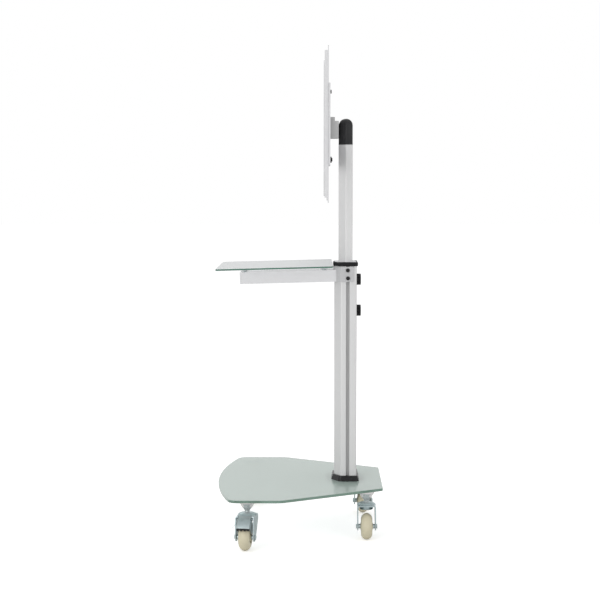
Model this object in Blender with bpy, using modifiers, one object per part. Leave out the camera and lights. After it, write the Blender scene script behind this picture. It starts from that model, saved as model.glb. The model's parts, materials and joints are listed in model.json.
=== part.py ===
"""A tv cart: a glass base on four swivel casters, an aluminium column with a telescoping
tube, a clamped glass shelf, and a wall plate with two upright arms that carry the screen.

Metres, +Z up. The front, where the screen faces, is -Y. The origin is on the floor, below
the middle of the base glass.
"""
import math

import bmesh
import bpy
from mathutils import Matrix, Vector

OBJECT_NAME = "tv_cart"

# Facets round a full turn
BOLT_FACETS = 10
PAD_FACETS = 12
ROUND_FACETS = 16
WHEEL_FACETS = 20

# Gaps
SEAT = 0.0003                 # between two pieces that touch
RUNNING = 0.0004              # between a guide and what slides in it
HOLE_PLAY = 0.0004            # between a pin or screw and its hole, on the radius
SLOT_END = 0.49               # radius of a slot's round end, as a share of its width

# Base glass
BASE_DEPTH = 0.477
BASE_HALF_WIDTH = 0.349
BASE_REAR_HALF_WIDTH = 0.168
BASE_THICKNESS = 0.008
BASE_TOP = 0.143
BASE_TAPER_START = 0.287      # from the rear edge to where the sides turn in
BASE_FRONT_RADIUS = 1.30
BASE_FRONT_CORNER = 0.028
BASE_SIDE_CORNER = 0.050
BASE_REAR_CORNER = 0.013
GLASS_ARRIS = 0.0009

# Foot of the column
COLLAR_HEIGHT = 0.0157
COLLAR_FLARE_TOP = 0.0045
COLLAR_FLARE_FOOT = 0.0085
GASKET_THICKNESS = 0.0015
FOOT_PLATE_WIDTH = 0.170
FOOT_PLATE_DEPTH = 0.110
FOOT_PLATE_THICKNESS = 0.004
FOOT_PLATE_CORNER = 0.012
FOOT_BOLT_RADIUS = 0.003
FOOT_BOLT_GRIP = 0.028        # length of thread inside the column
FOOT_BOLT_HEAD_RADIUS = 0.0065
FOOT_BOLT_HEAD_HEIGHT = 0.0053

# Column extrusion
COLUMN_SETBACK = 0.1055       # from the rear edge of the glass to the column's axis
COLUMN_WIDTH = 0.117
COLUMN_DEPTH = 0.064
COLUMN_FRONT_FLAT = 0.051
COLUMN_SIDE_FLAT = 0.0458
COLUMN_WALL = 0.003
COLUMN_SLOT_WALL = 0.0024     # between a slot's floor and the hollow
COLUMN_CORNER = 0.0045
COLUMN_TOP = 0.7707
SLOT_OFFSET = 0.0063          # slot centre behind the column's axis
SLOT_OPENING = 0.010
SLOT_LIP = 0.0022
SLOT_CAVITY_WIDTH = 0.018
SLOT_CAVITY_DEPTH = 0.0068
PORT_INSET_X = 0.0065
PORT_REAR_INSET = 0.0085
PORT_FRONT_INSET = 0.0235

# Top collar and guide bush
TOP_COLLAR_HEIGHT = 0.012
TOP_COLLAR_PROUD = 0.0038
TOP_COLLAR_EDGE = 0.0025
TOP_COLLAR_OVERLAP = 0.0018   # how far the ring reaches in over the column's end
BUSH_SKIRT = 0.028

# Clamp knobs
KNOB_RADIUS = 0.0165
KNOB_HEIGHT = 0.0134
KNOB_LOBES = 8
KNOB_FLUTE = 0.0011
KNOB_EDGE = 0.0010
KNOB_FACE_INSET = 0.0050      # how far its flat face lies inside the rim
KNOB_STUD_RADIUS = 0.004
UPPER_KNOB_DROP = 0.0407      # below the column's top
KNOB_SPACING = 0.091

# Telescoping tube
TUBE_WIDTH = 0.078
TUBE_DEPTH = 0.040
TUBE_FRONT_FLAT = 0.034
TUBE_SIDE_FLAT = 0.020
TUBE_WALL = 0.0025
TUBE_CORNER = 0.004
TUBE_TOP = 1.180
TUBE_LENGTH = 0.690
SHOE_HEIGHT = 0.014
SHOE_PLUG = 0.022

# Head cap
CAP_WALL = 0.0013
CAP_BOTTOM = 1.122
CAP_DOME_START = 1.1775
CAP_TOP = 1.1965
CAP_DOME_TURN = 78            # degrees of the dome's arc before its flat top
CAP_WINDOW_CLEARANCE = 0.0008
NECK_WALL = 0.0020            # the sleeve in the tube's top, which the cap covers
NECK_GRIP = 0.030             # how far the sleeve reaches down into the tube

# Head bracket
BRACKET_WIDTH = 0.060
BRACKET_DEPTH = 0.0278
BRACKET_WALL = 0.003
BRACKET_CORNER = 0.002
BRACKET_BOTTOM = 1.140
BRACKET_HEIGHT = 0.0614
BRACKET_STEP = 0.0114         # how much lower its rear part is
BRACKET_STEP_LENGTH = 0.0165
BRACKET_FOOT_WIDTH = 0.030
BRACKET_FOOT_HEIGHT = 0.036
BRACKET_FOOT_DROP = 0.004     # below the middle of the bracket's rear
BRACKET_FOOT_CORNER = 0.0015
HEAD_BOLT_SPACING = 0.020
PLATE_BOLT_SPACING = 0.036
BOLT_RADIUS = 0.003
BOLT_HEAD_RADIUS = 0.0055
BOLT_HEAD_HEIGHT = 0.0033
NUT_HEIGHT = 0.0045

# Wall plate
PLATE_WIDTH = 0.450
PLATE_HEIGHT = 0.229
PLATE_DROP = 0.1107           # its lower edge below the middle of the head bracket
PLATE_SHEET = 0.0022
PLATE_RIM = 0.0042            # depth of its folded edge, sheet included
PLATE_CORNER = 0.008
PLATE_WINDOW_WIDTH = 0.130
PLATE_WINDOW_INSET = 0.0595   # from the plate's upper and lower edge
PLATE_WINDOW_CORNER = 0.014
PLATE_WINDOW_OFFSET = 0.122   # window centre from the middle of the plate
UPPER_SLOT_INSET = 0.024      # slot centre below the plate's upper edge
LOWER_SLOT_INSET = 0.0165     # slot centre above the plate's lower edge

# Upright arms
ARM_SPACING = 0.400
ARM_WIDTH = 0.034
ARM_SHEET = 0.0025
ARM_DEPTH = 0.0116
ARM_RISE = 0.104              # above the plate
ARM_DROP = 0.103              # below the plate
ARM_FLANGE_INSET = 0.014      # from each end of the arm to its folded edges
ARM_CORNER = 0.006
ARM_SLOT_WIDTH = 0.0085
ARM_SLOT_LENGTH = 0.085
ARM_SLOT_INSET = 0.0645       # centre of the upper long slot below the arm's top
ARM_SLOT_LOW_INSET = 0.0605   # centre of the lower long slot above the arm's foot
ARM_SHORT_SLOT_LENGTH = 0.040
ARM_SHORT_SLOT_DROP = 0.045   # slot centre below the upper bolt
ARM_SHORT_SLOT_RISE = 0.0585  # slot centre above the lower bolt
ARM_BOLT_RADIUS = 0.003
ARM_NUT_RADIUS = 0.0055
ARM_THUMB_NUT_RADIUS = 0.0085
ARM_NUT_HEIGHT = 0.005
ARM_THUMB_NUT_HEIGHT = 0.0075
ARM_TRAVEL = 0.100            # how far each arm slides in on the plate

# Shelf
SHELF_DROOP = math.radians(1.5)
SHELF_WIDTH = 0.400
SHELF_DEPTH = 0.331
SHELF_THICKNESS = 0.006
SHELF_CORNER = 0.008
SHELF_REAR_GAP = 0.0015       # from the top collar to the glass
PAD_RADIUS = 0.011
PAD_HEIGHT = 0.0134
PAD_SPREAD = 0.029
FRONT_PAD_INSET = 0.0145
REAR_PAD_INSET = 0.030
SHELF_ARM_WIDTH = 0.084
SHELF_ARM_HEIGHT = 0.0345
SHELF_ARM_SHEET = 0.0025
SHELF_ARM_REACH = 0.2755      # from the column's front to the arm's end
SADDLE_HEIGHT = 0.0435
SADDLE_SHEET = 0.0028
SADDLE_PLAY = 0.0010          # gap round the column, which lets the arm droop
SADDLE_CHEEK_REACH = 0.0170   # behind the slot's centre
SADDLE_TOP_GAP = 0.0012       # below the top collar
CLAMP_SCREW_SPACING = 0.023
CLAMP_SCREW_RADIUS = 0.003
CLAMP_SCREW_HEAD_RADIUS = 0.0060
CLAMP_SCREW_HEAD_HEIGHT = 0.004
CLAMP_NUT_LENGTH = 0.037
CLAMP_NUT_WIDTH = 0.0162
CLAMP_NUT_THICKNESS = 0.005
CLAMP_NUT_CORNER = 0.0015

# Casters
WHEEL_RADIUS = 0.0375
WHEEL_HALF_TREAD = 0.016
WHEEL_HALF_HUB = 0.0175
WHEEL_HALF_WEB = 0.0075
WHEEL_RIM_DEPTH = 0.0165
WHEEL_RIM_SLOPE = 0.0025
WHEEL_CROWN = 0.0105          # depth of its rounded tread
HUB_RADIUS = 0.0105
AXLE_RADIUS = 0.004
TRAIL = 0.028                 # wheel axle out from the swivel axis
FORK_WIDTH = 0.053
FORK_SHEET = 0.0028
FORK_TOP = 0.097
FORK_BEND = 0.006
FORK_EYE = 0.012              # radius of its legs round the axle
FORK_NOSE = 0.038             # its crown out from the swivel axis, over the wheel
FORK_NOTCH_ROOT = 0.0266      # where the notch for the pedal starts, out from the swivel axis
FORK_NOTCH_PLAY = 0.0015      # beside the pedal
FORK_TAIL = 0.024             # its crown behind the swivel axis
FORK_TAIL_DEPTH = 0.015
HEAD_TOP = 0.102
HEAD_RADIUS = 0.0265
RACE_RADIUS = 0.019
RACE_BOTTOM = 0.0815
KINGPIN_RADIUS = 0.005
KINGPIN_HEAD_RADIUS = 0.008
KINGPIN_HEAD_HEIGHT = 0.0028
MOUNT_RADIUS = 0.023
MOUNT_FLANGE = 0.009
MOUNT_SHOULDER = 0.0165       # below the glass, where the cone turns steep
MOUNT_WAIST = 0.0255          # below the glass, where the cone meets its neck
AXLE_END = 0.0305
AXLE_HEAD_RADIUS = 0.0063
SPACER_RADIUS = 0.0066
FRONT_CASTER_INSET = 0.046    # from the widest side of the glass
FRONT_CASTER_SETBACK = 0.095  # from the front edge
REAR_CASTER_INSET = 0.038     # from the tapering side
REAR_CASTER_SETBACK = 0.047   # from the rear edge
FRONT_CASTER_TURN = math.radians(9.0)

# Brake pedal of the front casters, in the plane of the wheel
PEDAL_WIDTH = 0.036
PEDAL_SHEET = 0.002
PEDAL_SKIRT = 0.0095
PEDAL_CLEARANCE_REAR = 0.0215  # above the tyre at its hinge end
PEDAL_CLEARANCE_FRONT = 0.0105
PEDAL_START = math.radians(90.5)
PEDAL_END = math.radians(41.0)
PEDAL_PIN_RADIUS = 0.0025
PEDAL_PIN_LEAD = 0.005        # pin ahead of the wheel's axle
PEDAL_PIN_HEIGHT = 0.088
PAD_BAR_ANGLE = math.radians(5.6)
PAD_BAR_DEPTH = 0.0062
PAD_BAR_TEETH = 4
PAD_BAR_ROOT = 0.55           # share of the bar that its notches leave whole

# Colour, roughness, metallic
FINISHES = {
    "tinted_glass": ((0.52, 0.60, 0.56), 0.08, 0.0),
    "clear_glass": ((0.70, 0.76, 0.74), 0.05, 0.0),
    "anodised_aluminium": ((0.58, 0.58, 0.58), 0.38, 0.85),
    "painted_steel": ((0.60, 0.60, 0.61), 0.45, 0.0),
    "grey_paint": ((0.37, 0.37, 0.36), 0.45, 0.0),
    "black_plastic": ((0.013, 0.014, 0.015), 0.45, 0.0),
    "grey_plastic": ((0.62, 0.62, 0.66), 0.40, 0.0),
    "clear_plastic": ((0.80, 0.82, 0.83), 0.15, 0.0),
    "rubber": ((0.012, 0.012, 0.012), 0.75, 0.0),
    "zinc_plate": ((0.34, 0.39, 0.39), 0.35, 0.9),
    "nylon": ((0.64, 0.58, 0.42), 0.42, 0.0),
    "black_steel": ((0.014, 0.014, 0.015), 0.35, 0.6),
}

# Places that follow from the sizes above
BASE_REAR = BASE_DEPTH / 2
BASE_FRONT = -BASE_DEPTH / 2
COLUMN_Y = BASE_REAR - COLUMN_SETBACK
COLUMN_BOTTOM = BASE_TOP + SEAT
COLUMN_SIDE = COLUMN_WIDTH / 2
SLOT_Y = COLUMN_Y + SLOT_OFFSET
COLLAR_TOP = COLUMN_TOP + SEAT + TOP_COLLAR_HEIGHT
UPPER_KNOB_HEIGHT = COLUMN_TOP - UPPER_KNOB_DROP
TUBE_FRONT = COLUMN_Y - TUBE_DEPTH / 2
TUBE_BOTTOM = TUBE_TOP - TUBE_LENGTH
NECK_INSET = CAP_WALL + SEAT
NECK_FRONT = TUBE_FRONT + NECK_INSET
BRACKET_REAR = TUBE_FRONT - SEAT
BRACKET_FRONT = BRACKET_REAR - BRACKET_DEPTH
BRACKET_MIDDLE = BRACKET_BOTTOM + BRACKET_HEIGHT / 2
PLATE_FRONT = BRACKET_FRONT - SEAT - PLATE_SHEET
PLATE_BOTTOM = BRACKET_MIDDLE - PLATE_DROP
PLATE_TOP = PLATE_BOTTOM + PLATE_HEIGHT
PLATE_WINDOW_HEIGHT = PLATE_HEIGHT - 2 * PLATE_WINDOW_INSET
ARM_REAR = PLATE_FRONT - SEAT
ARM_REAR_TO_NUT = SEAT + PLATE_SHEET + SEAT
ARM_TOP = PLATE_TOP + ARM_RISE
ARM_LENGTH = ARM_RISE + PLATE_HEIGHT + ARM_DROP
ARM_FOOT = ARM_TOP - ARM_LENGTH
ARM_MIDDLE = ARM_TOP - ARM_LENGTH / 2
ARM_FLANGE_LENGTH = ARM_LENGTH - 2 * ARM_FLANGE_INSET
ARM_UPPER_BOLT = PLATE_TOP - UPPER_SLOT_INSET
ARM_LOWER_BOLT = PLATE_BOTTOM + LOWER_SLOT_INSET
SADDLE_MIDDLE = COLUMN_TOP - SADDLE_TOP_GAP - SADDLE_HEIGHT / 2
MOUNT_TOP = BASE_TOP - BASE_THICKNESS - SEAT
FORK_INSIDE = FORK_WIDTH / 2 - FORK_SHEET
WHEEL_CENTRE = Vector((TRAIL, 0.0, WHEEL_RADIUS))

parts = None
cutters = None


def start_clean():
    """Remove what the file holds and make the two collections."""
    global parts, cutters
    for old in list(bpy.data.objects):
        bpy.data.objects.remove(old, do_unlink=True)
    parts = bpy.data.collections.new(OBJECT_NAME)
    cutters = bpy.data.collections.new("cutters")
    bpy.context.scene.collection.children.link(parts)
    bpy.context.scene.collection.children.link(cutters)


def finish(name):
    """The material of one finish, made once."""
    if name in bpy.data.materials:
        return bpy.data.materials[name]
    colour, roughness, metallic = FINISHES[name]
    made = bpy.data.materials.new(name)
    made.use_nodes = True
    made.diffuse_color = (*colour, 1.0)
    shader = made.node_tree.nodes["Principled BSDF"]
    shader.inputs["Base Color"].default_value = (*colour, 1.0)
    shader.inputs["Roughness"].default_value = roughness
    shader.inputs["Metallic"].default_value = metallic
    return made


def place(name, mesh, finish_name, parent=None, location=(0.0, 0.0, 0.0), smooth=True):
    """Put a mesh in the cart as a named piece."""
    piece = bpy.data.objects.new(name, mesh)
    parts.objects.link(piece)
    piece.location = location
    piece.parent = parent
    if not mesh.materials:
        mesh.materials.append(finish(finish_name))
    if smooth:
        mesh.shade_smooth()
        mesh.set_sharp_from_angle(angle=math.radians(35))
    return piece


def guide(name, location, turn=(0.0, 0.0, 0.0)):
    """An empty on a joint's axis, which carries the pieces that move together."""
    empty = bpy.data.objects.new(name, None)
    parts.objects.link(empty)
    empty.location = location
    empty.rotation_euler = turn
    empty.empty_display_size = 0.03
    return empty


def mesh_of(source):
    """The evaluated mesh of an object, with its doubles merged."""
    bpy.context.view_layer.update()
    depsgraph = bpy.context.evaluated_depsgraph_get()
    mesh = bpy.data.meshes.new_from_object(source.evaluated_get(depsgraph))
    work = bmesh.new()
    work.from_mesh(mesh)
    bmesh.ops.remove_doubles(work, verts=work.verts, dist=1e-6)
    work.to_mesh(mesh)
    work.free()
    return mesh


def merged(mesh):
    """A mesh with its doubles merged and its faces turned out."""
    work = bmesh.new()
    work.from_mesh(mesh)
    bmesh.ops.remove_doubles(work, verts=work.verts, dist=1e-6)
    bmesh.ops.recalc_face_normals(work, faces=work.faces)
    work.to_mesh(mesh)
    work.free()
    return mesh


def rounded(corners, steps=4):
    """An outline from corners (u, v, radius); a radius of 0 keeps the corner sharp."""
    outline = []
    for index, (u, v, radius) in enumerate(corners):
        here = Vector((u, v))
        if radius <= 0:
            outline.append((u, v))
            continue
        before = (Vector(corners[index - 1][:2]) - here).normalized()
        after = (Vector(corners[(index + 1) % len(corners)][:2]) - here).normalized()
        half = before.angle(after) / 2
        centre = here + (before + after).normalized() * radius / math.sin(half)
        start = here + before * radius / math.tan(half) - centre
        end = here + after * radius / math.tan(half) - centre
        sweep = math.atan2(start.x * end.y - start.y * end.x, start.dot(end))
        for step in range(steps + 1):
            angle = sweep * step / steps
            outline.append((
                centre.x + start.x * math.cos(angle) - start.y * math.sin(angle),
                centre.y + start.x * math.sin(angle) + start.y * math.cos(angle),
            ))
    return outline


def grown(outline, distance):
    """A closed counter-clockwise outline moved outwards by a distance."""
    result = []
    for index, point in enumerate(outline):
        here = Vector(point)
        before = (here - Vector(outline[index - 1])).normalized()
        after = (Vector(outline[(index + 1) % len(outline)]) - here).normalized()
        normal_before = Vector((before.y, -before.x))
        normal_after = Vector((after.y, -after.x))
        miter = (normal_before + normal_after) / (1 + normal_before.dot(normal_after))
        result.append(tuple(here + miter * distance))
    return result


def rectangle(width, height, radius=0.0, centre=(0.0, 0.0), steps=2):
    """A counter-clockwise rectangle with round corners."""
    u, v = centre
    corners = (
        (u + width / 2, v - height / 2, radius),
        (u + width / 2, v + height / 2, radius),
        (u - width / 2, v + height / 2, radius),
        (u - width / 2, v - height / 2, radius),
    )
    return rounded(corners, steps)


def circle(radius, centre=(0.0, 0.0), steps=BOLT_FACETS):
    """A counter-clockwise circle."""
    turns = [2 * math.pi * step / steps for step in range(steps)]
    return [(centre[0] + radius * math.cos(turn), centre[1] + radius * math.sin(turn)) for turn in turns]


def section(width, depth, front_flat, side_flat, corner, steps=2):
    """The column's family of sections: a flat back and sides, and a chamfered front at -v."""
    side = width / 2
    back = depth / 2
    corners = (
        (front_flat / 2, -back, corner),
        (side, back - side_flat, corner),
        (side, back, corner),
        (-side, back, corner),
        (-side, back - side_flat, corner),
        (-front_flat / 2, -back, corner),
    )
    return rounded(corners, steps)


def column_outline():
    return section(COLUMN_WIDTH, COLUMN_DEPTH, COLUMN_FRONT_FLAT, COLUMN_SIDE_FLAT, COLUMN_CORNER)


def tube_outline():
    return section(TUBE_WIDTH, TUBE_DEPTH, TUBE_FRONT_FLAT, TUBE_SIDE_FLAT, TUBE_CORNER)


def column_cavity():
    """The hollow that the tube slides in, between the two slots."""
    side = COLUMN_SIDE - SLOT_LIP - SLOT_CAVITY_DEPTH - COLUMN_SLOT_WALL
    back = COLUMN_DEPTH / 2 - COLUMN_WALL
    slope = (COLUMN_DEPTH - COLUMN_SIDE_FLAT) / (COLUMN_SIDE - COLUMN_FRONT_FLAT / 2)
    inside = COLUMN_WALL * math.hypot(1, slope)
    front_flat = COLUMN_FRONT_FLAT / 2 + (inside - COLUMN_WALL) / slope
    turn_in = -COLUMN_DEPTH / 2 + inside + (side - COLUMN_FRONT_FLAT / 2) * slope
    corners = (
        (front_flat, -back, 0.0),
        (side, turn_in, 0.0),
        (side, back, 0.0),
        (-side, back, 0.0),
        (-side, turn_in, 0.0),
        (-front_flat, -back, 0.0),
    )
    return rounded(corners)


def moved(outline, shift_u=0.0, shift_v=0.0):
    return [(u + shift_u, v + shift_v) for u, v in outline]


def slab(outlines, low, high, axis="Z"):
    """A flat outline with holes, extruded along an axis from low to high."""
    curve = bpy.data.curves.new("outline", "CURVE")
    curve.dimensions = "2D"
    curve.fill_mode = "BOTH"
    curve.extrude = (high - low) / 2
    for outline in outlines:
        spline = curve.splines.new("POLY")
        spline.points.add(len(outline) - 1)
        for point, (u, v) in zip(spline.points, outline):
            point.co = (u, v, 0.0, 1.0)
        spline.use_cyclic_u = True
    drawing = bpy.data.objects.new("outline", curve)
    bpy.context.scene.collection.objects.link(drawing)
    mesh = mesh_of(drawing)
    bpy.data.objects.remove(drawing)
    bpy.data.curves.remove(curve)
    middle = (low + high) / 2
    frames = {
        "Z": Matrix(((1, 0, 0, 0), (0, 1, 0, 0), (0, 0, 1, middle), (0, 0, 0, 1))),
        "X": Matrix(((0, 0, 1, middle), (1, 0, 0, 0), (0, 1, 0, 0), (0, 0, 0, 1))),
        "Y": Matrix(((1, 0, 0, 0), (0, 0, -1, middle), (0, 1, 0, 0), (0, 0, 0, 1))),
    }
    mesh.transform(frames[axis])
    return merged(mesh)


def turned(profile, steps=ROUND_FACETS, axis="Z", at=(0.0, 0.0, 0.0), closed=False):
    """A profile of (radius, height) points, run down its outer side and turned about an axis."""
    work = bmesh.new()
    points = [work.verts.new((radius, 0.0, height)) for radius, height in profile]
    for first, second in zip(points, points[1:]):
        work.edges.new((first, second))
    if closed:
        work.edges.new((points[-1], points[0]))
    line = bpy.data.meshes.new("profile")
    work.to_mesh(line)
    work.free()
    lathe = bpy.data.objects.new("profile", line)
    bpy.context.scene.collection.objects.link(lathe)
    screw = lathe.modifiers.new("turn", "SCREW")
    screw.axis = "Z"
    screw.steps = steps
    screw.render_steps = steps
    screw.use_merge_vertices = True
    screw.merge_threshold = 0.00001
    mesh = mesh_of(lathe)
    bpy.data.objects.remove(lathe)
    bpy.data.meshes.remove(line)
    turns = {
        "Z": Matrix.Identity(4),
        "X": Matrix.Rotation(math.radians(90), 4, "Y"),
        "Y": Matrix.Rotation(math.radians(-90), 4, "X"),
    }
    mesh.transform(Matrix.Translation(at) @ turns[axis])
    return merged(mesh)


def rod(radius, low, high, axis, at, steps=BOLT_FACETS):
    """A plain round bar along an axis, from low to high on it, through the point at."""
    profile = ((0.0, high), (radius, high), (radius, low), (0.0, low))
    return turned(profile, steps, axis, at)


def loft(rings):
    """A closed body through rings of equal counts: each ring is (outline, height)."""
    work = bmesh.new()
    rows = []
    for outline, height in rings:
        rows.append([work.verts.new((u, v, height)) for u, v in outline])
    for lower, upper in zip(rows, rows[1:]):
        for index in range(len(lower)):
            following = (index + 1) % len(lower)
            work.faces.new((lower[index], lower[following], upper[following], upper[index]))
    work.faces.new(reversed(rows[0]))
    work.faces.new(rows[-1])
    mesh = bpy.data.meshes.new("loft")
    work.to_mesh(mesh)
    work.free()
    return merged(mesh)


def join(piece, mesh, operation, name):
    """Cut a piece with a mesh, or add a mesh to it, in the piece's own frame."""
    tool = bpy.data.objects.new(name, mesh)
    cutters.objects.link(tool)
    tool.parent = piece
    tool.display_type = "WIRE"
    tool.hide_render = True
    modifier = piece.modifiers.new(name, "BOOLEAN")
    modifier.operation = operation
    modifier.solver = "EXACT"
    modifier.object = tool


def cut(piece, mesh, name):
    join(piece, mesh, "DIFFERENCE", name)


def add(piece, mesh, name):
    join(piece, mesh, "UNION", name)


def soften(piece, width, segments=1, angle=40):
    """Break the sharp edges of a piece."""
    bevel = piece.modifiers.new("edges", "BEVEL")
    bevel.width = width
    bevel.segments = segments
    bevel.limit_method = "ANGLE"
    bevel.angle_limit = math.radians(angle)
    bevel.use_clamp_overlap = True


def base_half_width(y):
    """Half the width of the base glass at a depth behind its widest part."""
    taper_start = BASE_REAR - BASE_TAPER_START
    share = max(0.0, (y - taper_start) / BASE_TAPER_START)
    return BASE_HALF_WIDTH - share * (BASE_HALF_WIDTH - BASE_REAR_HALF_WIDTH)


def base_outline():
    """The glass: a bowed front, short parallel sides, and sides that taper to the rear."""
    taper_start = BASE_REAR - BASE_TAPER_START
    centre = BASE_FRONT + BASE_FRONT_RADIUS
    corners = [
        (BASE_REAR_HALF_WIDTH, BASE_REAR, BASE_REAR_CORNER),
        (-BASE_REAR_HALF_WIDTH, BASE_REAR, BASE_REAR_CORNER),
        (-BASE_HALF_WIDTH, taper_start, BASE_SIDE_CORNER),
    ]
    spans = 12
    for span in range(spans + 1):
        x = BASE_HALF_WIDTH * (2 * span / spans - 1)
        y = centre - math.sqrt(BASE_FRONT_RADIUS ** 2 - x ** 2)
        radius = BASE_FRONT_CORNER if span in (0, spans) else 0.0
        corners.append((x, y, radius))
    corners.append((BASE_HALF_WIDTH, taper_start, BASE_SIDE_CORNER))
    return rounded(corners)


def port_places():
    """The four screw ports of the column, seen from above, about its axis."""
    side = COLUMN_SIDE - PORT_INSET_X
    rear = COLUMN_DEPTH / 2 - PORT_REAR_INSET
    front = PORT_FRONT_INSET - COLUMN_DEPTH / 2
    return {
        "rear_right": (side, rear),
        "rear_left": (-side, rear),
        "front_right": (side, front),
        "front_left": (-side, front),
    }


def make_base():
    glass = place("base_glass", slab([base_outline()], BASE_TOP - BASE_THICKNESS, BASE_TOP), "tinted_glass")
    soften(glass, GLASS_ARRIS)
    hole = FOOT_BOLT_RADIUS + HOLE_PLAY
    holes = [circle(hole, (x, COLUMN_Y + y)) for x, y in port_places().values()]
    plate = rectangle(FOOT_PLATE_WIDTH, FOOT_PLATE_DEPTH, FOOT_PLATE_CORNER, (0.0, COLUMN_Y))
    gasket_top = BASE_TOP - BASE_THICKNESS - SEAT
    gasket_bottom = gasket_top - GASKET_THICKNESS
    plate_top = gasket_bottom - SEAT
    plate_bottom = plate_top - FOOT_PLATE_THICKNESS
    for index, outline in enumerate(holes):
        cut(glass, slab([outline], BASE_TOP - 2 * BASE_THICKNESS, BASE_TOP + 0.01), f"base_hole_{index}")
    place("base_gasket", slab([plate] + holes, gasket_bottom, gasket_top), "rubber")
    place("foot_plate", slab([plate] + holes, plate_bottom, plate_top), "zinc_plate")
    head_top = plate_bottom - SEAT
    head_bottom = head_top - FOOT_BOLT_HEAD_HEIGHT
    tip = COLUMN_BOTTOM + FOOT_BOLT_GRIP
    for where, (x, y) in port_places().items():
        profile = (
            (0.0, tip), (FOOT_BOLT_RADIUS, tip), (FOOT_BOLT_RADIUS, head_top),
            (FOOT_BOLT_HEAD_RADIUS, head_top), (FOOT_BOLT_HEAD_RADIUS, head_bottom), (0.0, head_bottom),
        )
        bolt = turned(profile, BOLT_FACETS, "Z", (x, COLUMN_Y + y, 0.0))
        place(f"foot_bolt_{where}", bolt, "zinc_plate")


def ring(outline, inner, heights):
    """A moulded ring round the column: (growth of the outline, height) from foot to top."""
    body = loft([(grown(outline, growth), height) for growth, height in heights])
    body.transform(Matrix.Translation((0.0, COLUMN_Y, 0.0)))
    hole = slab([moved(inner, 0.0, COLUMN_Y)], heights[0][1] - 0.01, heights[-1][1] + 0.01)
    return body, hole


def make_column():
    side = COLUMN_SIDE
    back = COLUMN_DEPTH / 2
    low_lip = SLOT_OFFSET - SLOT_OPENING / 2
    high_lip = SLOT_OFFSET + SLOT_OPENING / 2
    low_wall = SLOT_OFFSET - SLOT_CAVITY_WIDTH / 2
    high_wall = SLOT_OFFSET + SLOT_CAVITY_WIDTH / 2
    lip = side - SLOT_LIP
    floor = lip - SLOT_CAVITY_DEPTH
    right = [
        (side, low_lip), (lip, low_lip), (lip, low_wall), (floor, low_wall),
        (floor, high_wall), (lip, high_wall), (lip, high_lip), (side, high_lip),
    ]
    left = [(-x, y) for x, y in reversed(right)]
    corners = [(COLUMN_FRONT_FLAT / 2, -back, COLUMN_CORNER), (side, back - COLUMN_SIDE_FLAT, COLUMN_CORNER)]
    corners += [(x, y, 0.0) for x, y in right]
    corners += [(side, back, COLUMN_CORNER), (-side, back, COLUMN_CORNER)]
    corners += [(x, y, 0.0) for x, y in left]
    corners += [(-side, back - COLUMN_SIDE_FLAT, COLUMN_CORNER), (-COLUMN_FRONT_FLAT / 2, -back, COLUMN_CORNER)]
    outer = rounded(corners, steps=2)
    ports = [circle(FOOT_BOLT_RADIUS + SEAT, spot) for spot in port_places().values()]
    outlines = [moved(outline, 0.0, COLUMN_Y) for outline in [outer, column_cavity()] + ports]
    column = place("column_extrusion", slab(outlines, COLUMN_BOTTOM, COLUMN_TOP), "anodised_aluminium")
    stud_hole = KNOB_STUD_RADIUS + HOLE_PLAY
    for index in range(2):
        at = (0.0, COLUMN_Y, UPPER_KNOB_HEIGHT - index * KNOB_SPACING)
        cut(column, rod(stud_hole, TUBE_DEPTH / 2, COLUMN_DEPTH, "Y", at), f"stud_hole_{index}")

    outline = column_outline()
    inner = grown(outline, SEAT)
    heights = ((COLLAR_FLARE_FOOT, COLUMN_BOTTOM), (COLLAR_FLARE_TOP, COLUMN_BOTTOM + COLLAR_HEIGHT))
    body, hole = ring(outline, inner, heights)
    foot_collar = place("bottom_collar", body, "black_plastic")
    cut(foot_collar, hole, "bottom_collar_hole")

    low = COLUMN_TOP + SEAT
    heights = (
        (TOP_COLLAR_PROUD - TOP_COLLAR_EDGE, low),
        (TOP_COLLAR_PROUD - TOP_COLLAR_EDGE * 0.3, low + TOP_COLLAR_EDGE * 0.3),
        (TOP_COLLAR_PROUD, low + TOP_COLLAR_EDGE),
        (TOP_COLLAR_PROUD, COLLAR_TOP - TOP_COLLAR_EDGE),
        (TOP_COLLAR_PROUD - TOP_COLLAR_EDGE * 0.3, COLLAR_TOP - TOP_COLLAR_EDGE * 0.3),
        (TOP_COLLAR_PROUD - TOP_COLLAR_EDGE, COLLAR_TOP),
    )
    body, hole = ring(outline, grown(outline, -TOP_COLLAR_OVERLAP), heights)
    top_collar = place("top_collar", body, "black_plastic")
    cut(top_collar, hole, "top_collar_hole")

    opening = moved(grown(tube_outline(), RUNNING), 0.0, COLUMN_Y)
    plate = moved(grown(outline, -TOP_COLLAR_OVERLAP - SEAT), 0.0, COLUMN_Y)
    bush = place("guide_bush", slab([plate, opening], low, COLLAR_TOP), "grey_plastic")
    skirt = moved(grown(column_cavity(), -SEAT), 0.0, COLUMN_Y)
    add(bush, slab([skirt, opening], low - BUSH_SKIRT, low + TOP_COLLAR_EDGE), "guide_bush_skirt")


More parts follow.
